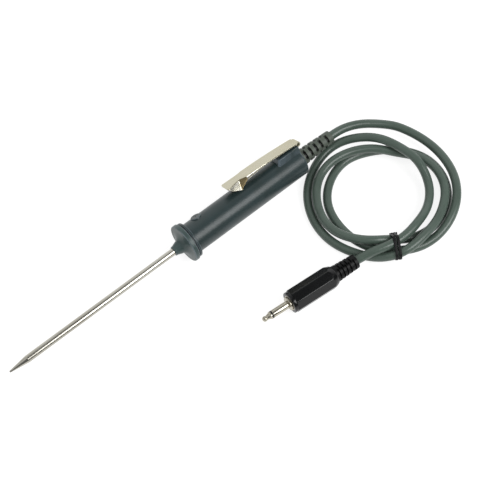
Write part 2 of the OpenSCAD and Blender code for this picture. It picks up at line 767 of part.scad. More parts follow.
module plug_cores() color("#A03028")
    on_plug() {
        for (side = [-1, 1])
            translate([side * wire_off, 0, jacket_z + fit])
                cylinder(d = core_d, h = tag_z - jacket_z - 2 * fit);
    }

module plug_cable_end() color("#5A6A62")
    on_plug(-hood_l - tail_l) cylinder(d = cable_d, h = jacket_z + hood_l + tail_l);

needle_tube();
needle_point();
sensor_bead();
thermal_fill();
sensor_leads();
lead_sleeve();
nose_cap();
needle_ferrule();
barrel();
clip_arm();
clip_foot();
lead_joints();
joint_sleeves();
cable_cores();
cable_crimp();
cable_end();
cable_boot();
cable_lead();
cable_coil();
cable_tail();
twist_tie();
plug_hood();
plug_tail();
plug_collar();
plug_sleeve();
plug_insulator();
plug_tip();
plug_tag();
plug_clamp();
plug_cores();
plug_cable_end();
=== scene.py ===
"""A penetration probe with a pocket clip, a tied cable and a jack plug, dressed over its solids.

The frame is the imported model's: +X runs from the needle's point to the cable, +Z is up and the
table is at z = 0. Sizes in this file are in millimetres and meshes are made in metres. The
corners of an outline are rows of distance along a line, radius, and rounding of the corner.
"""

from __future__ import annotations

import json
import logging
import math
from dataclasses import dataclass
from enum import Enum
from typing import Optional, Union

import bmesh
import bpy
import numpy as np
from mathutils import Euler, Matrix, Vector


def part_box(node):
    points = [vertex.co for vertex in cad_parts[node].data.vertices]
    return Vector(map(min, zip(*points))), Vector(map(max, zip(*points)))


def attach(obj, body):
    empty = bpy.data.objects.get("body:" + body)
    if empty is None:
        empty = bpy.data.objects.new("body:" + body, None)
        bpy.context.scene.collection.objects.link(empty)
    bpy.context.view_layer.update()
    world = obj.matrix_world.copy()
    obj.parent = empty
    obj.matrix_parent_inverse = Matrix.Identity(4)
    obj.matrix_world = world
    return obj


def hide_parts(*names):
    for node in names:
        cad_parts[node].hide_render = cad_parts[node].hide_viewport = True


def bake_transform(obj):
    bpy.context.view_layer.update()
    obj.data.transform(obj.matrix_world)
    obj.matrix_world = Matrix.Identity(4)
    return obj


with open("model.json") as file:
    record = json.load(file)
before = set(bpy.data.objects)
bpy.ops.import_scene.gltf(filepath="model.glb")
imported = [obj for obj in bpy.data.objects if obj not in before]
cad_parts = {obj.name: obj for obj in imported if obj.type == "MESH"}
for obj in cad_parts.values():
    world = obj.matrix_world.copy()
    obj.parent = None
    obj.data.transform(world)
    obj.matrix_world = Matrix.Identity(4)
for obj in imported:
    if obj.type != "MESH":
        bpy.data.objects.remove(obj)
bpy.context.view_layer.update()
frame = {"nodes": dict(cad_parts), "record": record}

Array = np.ndarray
Piece = bpy.types.Object
Pair = tuple[float, float]
Triple = tuple[float, float, float]

MM = 0.001
X, Y, Z = 0, 1, 2
UP = np.array([0.0, 0.0, 1.0])
ROUND = 96  # points round a turned piece
WIDE_ROUND = 128  # points round the widest ones
THIN_ROUND = 64  # points round the thin ones
CRISP = 34.0  # edges that turn by more degrees than this stay crisp
SEAM = 0.002  # points closer than this are joined
LOG = logging.getLogger("probe")


# ---------------------------------------------------------------- places and curves
def low(node: str, axis: int) -> float:
    """Returns a solid's lowest place along an axis, in millimetres."""
    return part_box(node)[0][axis] / MM


def high(node: str, axis: int) -> float:
    """Returns a solid's highest place along an axis, in millimetres."""
    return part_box(node)[1][axis] / MM


@dataclass(frozen=True)
class Axes:
    """A line that pieces are built along, with the directions to its side and up from it."""

    origin: Triple  # place of the line's zero
    # Euler angles in degrees that bring X, Y and Z to along, side and up.
    turn: Triple = (0.0, 0.0, 0.0)

    @property
    def directions(self) -> Array:
        """The unit vectors along, to the side and up, as columns."""
        return np.array(Euler([math.radians(a) for a in self.turn]).to_matrix())

    def place(self, along: Array, side: Array, up: Array) -> Array:
        """Turns distances from the line into points of the frame.

        Args:
            along: Distances along the line.
            side: Distances to its side.
            up: Distances up from it.

        Returns:
            Points with x, y and z on the last axis.
        """
        local = np.stack(np.broadcast_arrays(along, side, up), axis=-1)
        return np.array(self.origin) + local @ self.directions.T


def ramp(value: Array, start: float, end: float) -> Array:
    """Returns 3t^2 - 2t^3, where t is how far value is from start to end, held within 0 and 1."""
    t = np.clip((np.asarray(value, float) - start) / (end - start), 0.0, 1.0)
    return t * t * (3.0 - 2.0 * t)


def hollow(t: Array) -> Array:
    """Returns 1 - sqrt(1 - t^2), a quarter of a circle that leaves 0 flat and reaches 1 upright."""
    return 1.0 - np.sqrt(1.0 - t**2)


def full_turn(steps: int) -> Array:
    """Returns evenly spaced angles round a full turn, in radians."""
    return np.linspace(0.0, 2.0 * math.pi, steps, endpoint=False)


def run_along(points: Array) -> Array:
    """Returns how far along their own line the points lie."""
    return np.r_[0.0, np.cumsum(np.linalg.norm(np.diff(points, axis=0), axis=1))]


def sample(wanted: Array, places: Array, points: Array) -> Array:
    """Returns points at the wanted places, straight between the given points at their places."""
    return np.stack([np.interp(wanted, places, column) for column in points.T], axis=1)


def arc(mid: Pair, radii: Pair, first: float, last: float, steps: int) -> Array:
    """Returns sharp corners on an ellipse's arc: mid + (rx cos a, ry sin a).

    Args:
        mid: Middle of the ellipse.
        radii: Its two half axes.
        first: Angle of the first corner in degrees.
        last: Angle of the last corner in degrees.
        steps: Number of steps along the arc.

    Returns:
        Rows of x, y and a rounding of 0.
    """
    angle = np.radians(np.linspace(first, last, steps + 1))
    x = mid[0] + radii[0] * np.cos(angle)
    y = mid[1] + radii[1] * np.sin(angle)
    return np.stack([x, y, 0.0 * angle], axis=1)


def rounded(corners: Array) -> Array:
    """Rounds the corners of a closed outline with circular arcs.

    A corner P of radius r is cut back by r tan(h) on both sides, to A and B, where h is half
    the turn there, but by less than half a side. The arc is
    ((1-t)^2 A + 2wt(1-t) P + t^2 B) / ((1-t)^2 + 2wt(1-t) + t^2) with w = cos(h).

    Args:
        corners: Rows of x, y and the corner's rounding.

    Returns:
        Rows of x, y and how much wear and painted highlight the point gets: 1 at the middle of a
        rounding, 0 on a face.
    """
    steps = 5
    most_cut = 0.49
    shortest = 1e-9
    same = 1e-6
    corners = np.asarray(corners, float)
    point = corners[:, :2]
    radius = corners[:, 2]
    before = np.roll(point, 1, axis=0) - point
    after = np.roll(point, -1, axis=0) - point
    length_before = np.maximum(np.linalg.norm(before, axis=1), shortest)
    length_after = np.maximum(np.linalg.norm(after, axis=1), shortest)
    cosine = -np.sum(before * after, axis=1) / (length_before * length_after)
    half = np.arccos(np.clip(cosine, -1.0, 1.0)) / 2.0
    cut = np.minimum(radius * np.tan(half), most_cut * np.minimum(length_before, length_after))
    start = point + before * (cut / length_before)[:, None]
    end = point + after * (cut / length_after)[:, None]
    t = np.linspace(0.0, 1.0, steps + 1)[None, :, None]
    weight = 2.0 * np.cos(half)[:, None, None] * t * (1.0 - t)
    first, last = (1.0 - t) ** 2, t**2
    curve = first * start[:, None] + weight * point[:, None] + last * end[:, None]
    curve = curve / (first + weight + last)
    wear_and_light = (4.0 * t * (1.0 - t))[..., 0] * (radius[:, None] > 0.0)
    rows = np.concatenate([curve, wear_and_light[..., None]], axis=-1).reshape(-1, 3)
    keep = np.r_[True, np.linalg.norm(np.diff(rows[:, :2], axis=0), axis=1) > same]
    return rows[keep]


def curve_through(points: Array, steps: int) -> Array:
    """Carries a smooth curve through points (Catmull-Rom: each tangent is half of c - a).

    Args:
        points: Rows of coordinates.
        steps: Steps between two of them.

    Returns:
        Rows along the curve, from the first point to the last.
    """
    points = np.asarray(points, float)
    ends = np.vstack([2 * points[0] - points[1], points, 2 * points[-1] - points[-2]])
    a, b, c, d = (ends[i : len(ends) - 3 + i, None, :] for i in range(4))
    t = (np.arange(steps) / steps)[None, :, None]
    curve = 2 * b + (c - a) * t + (2 * a - 5 * b + 4 * c - d) * t**2 + (3 * b - a - 3 * c + d) * t**3
    return np.vstack([curve.reshape(-1, points.shape[1]) / 2, points[-1:]])


def turned(axes: Axes, along: Array, radius: Array, sides: int = ROUND) -> Array:
    """Turns an outline round a line: a point at radius r and angle a is r sin a aside, r cos a up.

    Args:
        axes: The line.
        along: Distances along it, one for each row.
        radius: Radius of each row, or of each row and angle.
        sides: Number of points round it.

    Returns:
        A grid of points.
    """
    angle = full_turn(sides)
    radius = np.asarray(radius, float).reshape(len(along), -1)
    return axes.place(np.asarray(along, float)[:, None], radius * np.sin(angle), radius * np.cos(angle))


# ---------------------------------------------------------------- pieces
def new_object(name: str, data: bpy.types.ID) -> Piece:
    """Adds an object to the scene.

    Args:
        name: Its name.
        data: Its mesh, camera or lamp.

    Returns:
        The new object, at the origin.
    """
    item = bpy.data.objects.new(name, data)
    bpy.context.scene.collection.objects.link(item)
    return item


class Skin:
    """Gathers grids of points and makes one mesh of them."""

    def __init__(self) -> None:
        """Starts with no grid."""
        self.points: list[Array] = []
        self.faces: list[Array] = []
        self.relief: list[Array] = []
        self.laid: list[Array] = []
        self.count = 0

    def add(
        self,
        grid: Array,
        ring_rows: bool = False,
        ring_columns: bool = True,
        relief: Union[float, Array] = 0.0,
        laid: Optional[Array] = None,
    ) -> Skin:
        """Adds a grid of points, joined by four-sided faces.

        Args:
            grid: Points by row and column.
            ring_rows: Whether the last row joins the first.
            ring_columns: Whether the last column joins the first.
            relief: 1 on worn edges and painted highlights, 0 on a face, -1 on painted shade, over the
                grid.
            laid: The grid's points with the piece laid out straight, for its pattern.

        Returns:
            This skin.
        """
        rows, columns = grid.shape[:2]
        index = np.arange(rows * columns).reshape(rows, columns) + self.count
        index = np.vstack([index, index[:1]]) if ring_rows else index
        index = np.hstack([index, index[:, :1]]) if ring_columns else index
        around = [index[:-1, :-1], index[1:, :-1], index[1:, 1:], index[:-1, 1:]]
        self.faces.append(np.stack(around, axis=-1).reshape(-1, 4))
        self.points.append(grid.reshape(-1, 3))
        self.relief.append(np.broadcast_to(relief, (rows, columns)).reshape(-1))
        self.laid.append((grid if laid is None else laid).reshape(-1, 3))
        self.count += rows * columns
        return self

    def build(self, name: str, crisp: float = CRISP) -> Piece:
        """Makes the mesh, joins its seams and poles and turns its faces outwards.

        Args:
            name: The piece's name.
            crisp: Edges that turn by more than this many degrees stay crisp.

        Returns:
            The new object.
        """
        mesh = bpy.data.meshes.new(name)
        mesh.from_pydata((np.vstack(self.points) * MM).tolist(), [], np.vstack(self.faces).tolist())
        relief = mesh.attributes.new("relief", "FLOAT", "POINT")
        relief.data.foreach_set("value", np.hstack(self.relief))
        laid = mesh.attributes.new("laid", "FLOAT_VECTOR", "POINT")
        laid.data.foreach_set("vector", np.vstack(self.laid).ravel())
        work = bmesh.new()
        work.from_mesh(mesh)
        bmesh.ops.remove_doubles(work, verts=work.verts, dist=SEAM * MM)
        bmesh.ops.recalc_face_normals(work, faces=work.faces)
        work.to_mesh(mesh)
        work.free()
        mesh.shade_smooth()
        mesh.set_sharp_from_angle(angle=math.radians(crisp))
        return new_object(name, mesh)


def revolve(name: str, axes: Axes, corners: Array, sides: int = THIN_ROUND) -> Piece:
    """Turns a closed outline, with its corners rounded, into a ring-shaped or solid piece.

    Args:
        name: The piece's name.
        axes: The line it is turned round.
        corners: The outline's corners.
        sides: Number of points round it.

    Returns:
        The new object.
    """
    outline = rounded(corners)
    grid = turned(axes, outline[:, 0], outline[:, 1], sides)
    return Skin().add(grid, ring_rows=True, relief=outline[:, 2:]).build(name)


def bake(piece: Piece) -> Piece:
    """Puts a piece's modifiers into its mesh.

    Args:
        piece: The piece.

    Returns:
        The same piece, without modifiers.
    """
    depsgraph = bpy.context.evaluated_depsgraph_get()
    mesh = bpy.data.meshes.new_from_object(piece.evaluated_get(depsgraph))
    piece.modifiers.clear()
    piece.data = mesh
    mesh.shade_smooth()
    mesh.set_sharp_from_angle(angle=math.radians(CRISP))
    return piece


# ---------------------------------------------------------------- shader maths
class Wire:
    """An output of a node. +, - and * each add one Math node."""

    def __init__(self, paint: Paint, socket: bpy.types.NodeSocket) -> None:
        """Holds an output socket and the node tree that it belongs to."""
        self.paint = paint
        self.socket = socket

    def maths(self, operation: str, first: Number, second: Number = 0.0, clamp: bool = False) -> Wire:
        """Adds a Math node.

        Args:
            operation: The node's operation.
            first: Its first value.
            second: Its second value.
            clamp: Whether the result is held within 0 and 1.

        Returns:
            The node's output.
        """
        settings = {"operation": operation, "use_clamp": clamp}
        return self.paint.node("ShaderNodeMath", settings, {0: first, 1: second})

    def __add__(self, other: Number) -> Wire:
        """Returns self + other."""
        return self.maths("ADD", self, other)

    def __sub__(self, other: Number) -> Wire:
        """Returns self - other."""
        return self.maths("SUBTRACT", self, other)

    def __rsub__(self, other: Number) -> Wire:
        """Returns other - self."""
        return self.maths("SUBTRACT", other, self)

    def __mul__(self, other: Number) -> Wire:
        """Returns self * other."""
        return self.maths("MULTIPLY", self, other)

    __radd__ = __add__
    __rmul__ = __mul__

    def held(self) -> Wire:
        """Returns the value held within 0 and 1."""
        return self.maths("ADD", self, clamp=True)


Number = Union[float, Wire]
Colour = tuple[float, float, float, float]


def grey(level: float) -> Colour:
    """Returns a grey of a linear level."""
    return (level, level, level, 1.0)


def linear(colour: str) -> Colour:
    """Turns a screen colour such as "40494F" into a linear one, by the sRGB curve.

    Args:
        colour: Red, green and blue, two hexadecimal digits each.

    Returns:
        Linear red, green, blue and alpha.
    """
    screen = np.array([int(colour[i : i + 2], 16) for i in (0, 2, 4)]) / 255.0
    light = np.where(screen > 0.04045, ((screen + 0.055) / 1.055) ** 2.4, screen / 12.92)
    return (*light.tolist(), 1.0)


class Paint:
    """The node tree of a material or of the world."""

    def __init__(self, owner: Union[bpy.types.Material, bpy.types.World]) -> None:
        """Opens the node tree of a material or of the world.

        Args:
            owner: The material or world.
        """
        self.owner = owner
        self.owner.use_nodes = True
        self.tree = owner.node_tree

    def fill(self, node: bpy.types.Node, sockets: dict) -> None:
        """Sets a node's sockets.

        Args:
            node: The node.
            sockets: A value or a wire for each socket, by its name or number.
        """
        for key, value in sockets.items():
            if isinstance(value, Wire):
                self.tree.links.new(value.socket, node.inputs[key])
            else:
                node.inputs[key].default_value = value

    def node(
        self,
        kind: str,
        settings: Optional[dict] = None,
        sockets: Optional[dict] = None,
        output: Union[int, str] = 0,
    ) -> Wire:
        """Adds a node.

        Args:
            kind: The node's type.
            settings: Its properties, such as a Math node's operation.
            sockets: A value or a wire for each of its sockets.
            output: Name or number of the output that is used.

        Returns:
            That output.
        """
        node = self.tree.nodes.new(kind)
        for key, value in (settings or {}).items():
            setattr(node, key, value)
        self.fill(node, sockets or {})
        return Wire(self, node.outputs[output])

    def place(self, axes: Axes, sizes: Triple, laid: bool = False) -> Wire:
        """Gives distances along, beside and above a line, counted in steps of the sizes.

        Args:
            axes: The line.
            sizes: Length of one step in each direction.
            laid: Whether the piece is laid out straight first, by its own attribute.

        Returns:
            The coordinates.
        """
        if laid:
            source = self.node("ShaderNodeAttribute", {"attribute_name": "laid"}, output="Vector")
            sockets = {"Vector": source, "Scale": sizes}
        else:
            sockets = {
                "Vector": self.node("ShaderNodeTexCoord", output="Object"),
                "Location": [MM * place for place in axes.origin],
                "Rotation": [math.radians(angle) for angle in axes.turn],
                "Scale": [MM * size for size in sizes],
            }
        return self.node("ShaderNodeMapping", {"vector_type": "TEXTURE"}, sockets)

    def noise(self, place: Wire, detail: float, rough: float = 0.55) -> Wire:
        """Gives a noise from 0 to 1 about one step wide.

        Args:
            place: Coordinates in steps.
            detail: Number of finer layers.
            rough: Strength of the finer layers.

        Returns:
            The noise.
        """
        sockets = {"Vector": place, "Scale": 1.0, "Detail": detail, "Roughness": rough}
        return self.node("ShaderNodeTexNoise", {}, sockets)

    def band(self, value: Wire, limits: Pair, ends: Pair = (0.0, 1.0)) -> Wire:
        """Turns smoothly from one end to the other while a value goes through its limits.

        Args:
            value: The value.
            limits: Where it leaves the first end and where it reaches the second.
            ends: What is given below and above them.

        Returns:
            The mask.
        """
        names = ("From Min", "From Max", "To Min", "To Max")
        sockets = {"Value": value, **dict(zip(names, (*limits, *ends)))}
        return self.node("ShaderNodeMapRange", {"interpolation_type": "SMOOTHSTEP"}, sockets)

    def mix(self, mask: Number, first: Union[str, Wire], second: Union[str, Wire]) -> Wire:
        """Mixes two colours.

        Args:
            mask: 0 for the first, 1 for the second.
            first: A colour.
            second: A colour.

        Returns:
            The mixed colour.
        """
        one, other = (linear(colour) if isinstance(colour, str) else colour for colour in (first, second))
        return self.node("ShaderNodeMix", {"data_type": "RGBA"}, {0: mask, 6: one, 7: other}, output=2)

    def relief(self) -> Wire:
        """Gives the piece's own relief: 1 on worn edges and painted highlights, 0 on a face and -1 on
        painted shade.
        """
        return self.node("ShaderNodeAttribute", {"attribute_name": "relief"}, output="Fac")

    def bump(self, height: Wire, depth: float) -> Wire:
        """Gives normals bent by a height map from 0 to 1, whose 1 stands for the depth."""
        sockets = {"Height": height, "Strength": 1.0, "Distance": depth * MM}
        return self.node("ShaderNodeBump", {}, sockets)


# ---------------------------------------------------------------- finishes
PROBE = Axes(origin=(0.0, 0.0, high("nose_cap", Z) / 2))
CLIP = Axes(origin=PROBE.origin, turn=(-30.0, 0.0, 0.0))
PLUG = Axes(origin=(21.544, -49.428, 5.3335), turn=(0.0, 0.0, 174.8))


class Grain(Enum):
    """How a finish's grain runs: its length along, beside and above the piece's line."""

    EVEN = (1.0, 1.0, 1.0)
    LENGTHWISE = (90.0, 1.0, 1.0)
    TURNED = (0.6, 6.0, 6.0)


class Limits(Enum):
    """Values of a noise between which a mask turns from 0 to 1."""

    PATCHES = (0.35, 0.68)
    GRAIN = (0.3, 0.75)
    # limits of the mask of worn edges and painted highlight
    WEAR_AND_LIGHT = (0.3, 0.6)
    STAINS = (0.52, 0.75)


@dataclass(frozen=True)
class Finish:
    """A moulded or drawn surface: one colour with broad faint patches and a fine grain."""

    slot: str  # the material slot that it dresses
    colour: str  # its main colour
    patch: str  # colour of its broad patches
    roughness: float  # roughness of its plain faces
    edge: str = ""  # colour of its worn edges and of its painted highlight
    painted_shade: str = ""  # colour of its painted shade, down in slots and on faces turned from the light
    axes: Axes = PROBE  # the line that its grain follows
    grain: Grain = Grain.EVEN  # how its grain runs
    grain_size: float = 0.2  # width of the grain
    grain_depth: float = 0.003  # depth of the grain
    patch_size: float = 7.0  # size of the patches
    patch_stretch: float = 3.0  # how many times longer they are on a surface with a grain
    patch_share: float = 0.7  # share of the patches in the colour; the grain has the rest
    grain_share: float = 0.6  # share of the grain in the roughness; the patches have the rest
    wear_and_light_strength: float = 0.8  # how strongly the worn edges and the painted highlight show
    unevenness: float = 0.12  # how much the roughness varies
    metallic: float = 0.0  # 1 for bare metal
    coat: float = 0.0  # weight of a clear coat
    coat_roughness: float = 0.2  # roughness of the coat
    specular: float = 0.5  # the Principled shader's specular level
    laid: bool = False  # whether the pattern follows the piece's own laid-out shape

    def colours(self, paint: Paint, patches: Wire, fine: Wire) -> Wire:
        """Mixes the patches, the worn edges with their painted highlight, and the painted shade.

        Args:
            paint: The material being made.
            patches: The broad noise.
            fine: The fine noise.

        Returns:
            The base colour.
        """
        broad = paint.band(patches, Limits.PATCHES.value) * self.patch_share
        small = paint.band(fine, Limits.GRAIN.value) * (1.0 - self.patch_share)
        colour = paint.mix((broad + small).held(), self.colour, self.patch)
        if self.edge:
            # worn edges and painted highlight: a lighter colour where the relief is above 0
            wear_and_light = paint.relief().held() * paint.band(patches, Limits.WEAR_AND_LIGHT.value) * self.wear_and_light_strength
            colour = paint.mix(wear_and_light, colour, self.edge)
        # painted shade: a darker colour where the relief is below 0
        if self.painted_shade:
            colour = paint.mix((paint.relief() * -1.0).held(), colour, self.painted_shade)
        return colour

    def material(self) -> bpy.types.Material:
        """Makes the material.

        Returns:
            The finished material.
        """
        paint = Paint(bpy.data.materials.new(self.slot))
        steps = tuple(self.grain_size * step for step in self.grain.value)
        fine = paint.noise(paint.place(self.axes, steps, self.laid), detail=2.0)
        stretch = 1.0 if self.grain is Grain.EVEN else self.patch_stretch
        wide = (self.patch_size * stretch, self.patch_size, self.patch_size)
        patches = paint.noise(paint.place(self.axes, wide, self.laid), detail=4.0)
        uneven = fine * self.grain_share + patches * (1.0 - self.grain_share) - 0.5
        sockets = {
            "Base Color": self.colours(paint, patches, fine),
            "Roughness": (uneven * (2.0 * self.unevenness) + self.roughness).held(),
            "Metallic": self.metallic,
            "Coat Weight": self.coat,
            "Coat Roughness": self.coat_roughness,
            "Specular IOR Level": self.specular,
            "Normal": paint.bump(fine, self.grain_depth),
        }
        paint.fill(paint.tree.nodes["Principled BSDF"], sockets)
        return paint.owner


@dataclass(frozen=True)
class StainedSteel(Finish):
    """Drawn steel with dull lengthwise stains from use."""

    stain: str = "6E6A5E"  # colour of the stains
    stain_size: Triple = (40.0, 0.9, 0.9)  # their length, width and height
    stain_share: float = 0.35  # how strongly they show

    def colours(self, paint: Paint, patches: Wire, fine: Wire) -> Wire:
        """Adds long dark stains to the drawn surface.

        Args:
            paint: The material being made.
            patches: The broad noise.
            fine: The fine noise.

        Returns:
            The base colour.
        """
        plain = super().colours(paint, patches, fine)
        stains = paint.noise(paint.place(self.axes, self.stain_size), detail=3.0, rough=0.6)
        return paint.mix(paint.band(stains, Limits.STAINS.value) * self.stain_share, plain, self.stain)


FINISHES = (
    StainedSteel(
        "needle_steel", "C0BEB5", "B1ADA2", 0.22, grain=Grain.LENGTHWISE, grain_size=0.14,
        grain_depth=0.0008, metallic=1.0, unevenness=0.05,
    ),
    # The nose's edge colour lightens its roundings as wear and as a painted highlight along the rim; its
    # slot colour is painted shade in the groove.
    Finish("nose_plastic", "435655", "3B4C4B", 0.38, edge="76838A", painted_shade="0A0C0D"),
    # The handle's edge colour lightens worn roundings and also paints light on the boss's side faces and
    # front corners.
    Finish("handle_plastic", "303F41", "2A3838", 0.33, edge="66747E", grain_size=0.16, specular=0.45),
    # The clip's edge colour is a painted highlight on the wings' front leaves and on the lips; its slot
    # colour is painted shade on the wings' rear leaves.
    Finish(
        "clip_nickel", "CBC7B3", "BFB9A1", 0.27, edge="F6F4EC", painted_shade="A3946F", axes=CLIP,
        grain=Grain.LENGTHWISE, grain_size=0.1, metallic=1.0, unevenness=0.1,
    ),
    # The boot's slot colour is painted shade in its windows and notches.
    Finish("boot_rubber", "5C645B", "525A51", 0.45, edge="6E766E", painted_shade="050606", specular=0.4),
    Finish(
        "cable_jacket", "54635A", "4A5950", 0.32, grain_size=0.25, patch_size=9.0, unevenness=0.06,
        laid=True,
    ),
    Finish("tie_plastic", "08090A", "0F1012", 0.5, grain_size=0.3, grain_depth=0.01, specular=0.25),
    Finish(
        "plug_plastic", "050708", "080A0B", 0.2, edge="151818", axes=PLUG, patch_size=5.0,
        grain_depth=0.0004, unevenness=0.05, specular=0.42,
    ),
    # The tail's slot colour is painted shade in its windows and notches.
    Finish(
        "tail_rubber", "0A0B0C", "060708", 0.45, edge="2A2D2F", painted_shade="010101", axes=PLUG, specular=0.22,
    ),
    Finish(
        "plug_nickel", "BCB8AA", "AAA495", 0.2, axes=PLUG, grain=Grain.TURNED, grain_size=0.08,
        grain_depth=0.0004, metallic=1.0, unevenness=0.05,
    ),
    Finish("insulator_plastic", "0A0A0A", "121212", 0.35, axes=PLUG, grain=Grain.TURNED),
    Finish("bead_glass", "2F4A3A", "24392D", 0.08, patch_size=0.6, coat=1.0),
    Finish("potting", "D8D4C8", "C6BFA8", 0.3, patch_size=1.5),
    Finish("copper", "C98A4B", "A86B3C", 0.28, grain=Grain.LENGTHWISE, grain_size=0.06, metallic=1.0),
    Finish("white_sleeve", "E8E6DA", "DAD6C4", 0.45, grain=Grain.LENGTHWISE, grain_size=0.15),
    Finish("brass", "B59A55", "9C8346", 0.25, grain=Grain.TURNED, grain_size=0.1, metallic=1.0),
    Finish("solder", "C8C8C4", "9B9B98", 0.22, patch_size=0.8, metallic=1.0),
    Finish("black_sleeve", "1E1F22", "15161A", 0.4, grain_size=0.1),
    Finish("core_insulation", "A03028", "8C2620", 0.35, grain=Grain.LENGTHWISE, grain_size=0.1),
)


class Workshop:
    """Paints pieces and ties them to the model's bodies and solids."""

    def __init__(self) -> None:
        """Makes the material of every finish."""
        self.materials = {finish.slot: finish.material() for finish in FINISHES}

    def paint(self, piece: Piece, slot: str, *nodes: str) -> Piece:
        """Dresses a piece and hides the solids that it stands for.

        Args:
            piece: The piece.
            slot: Its material slot.
            *nodes: Names of the solids.

        Returns:
            The piece.
        """
        piece.data.materials.clear()
        piece.data.materials.append(self.materials[slot])
        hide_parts(*nodes)
        LOG.info("%s: %d faces, %s", piece.name, len(piece.data.polygons), slot)
        return piece

    def fix(self, piece: Piece, slot: str, *nodes: str) -> Piece:
        """Dresses a piece, as paint() does, and makes it ride on the probe's own body."""
        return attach(self.paint(piece, slot, *nodes), "probe")

    def dress_solids(self) -> None:
        """Gives every solid that is still shown the material of its slot."""
        for row in frame["record"]["subparts"]:
            solid = frame["nodes"][row["node"]]
            if not solid.hide_render:
                for place in solid.material_slots:
                    place.material = self.materials[row["material_slot"]]
                LOG.info("%s: dressed solid, %s", solid.name, row["material_slot"])


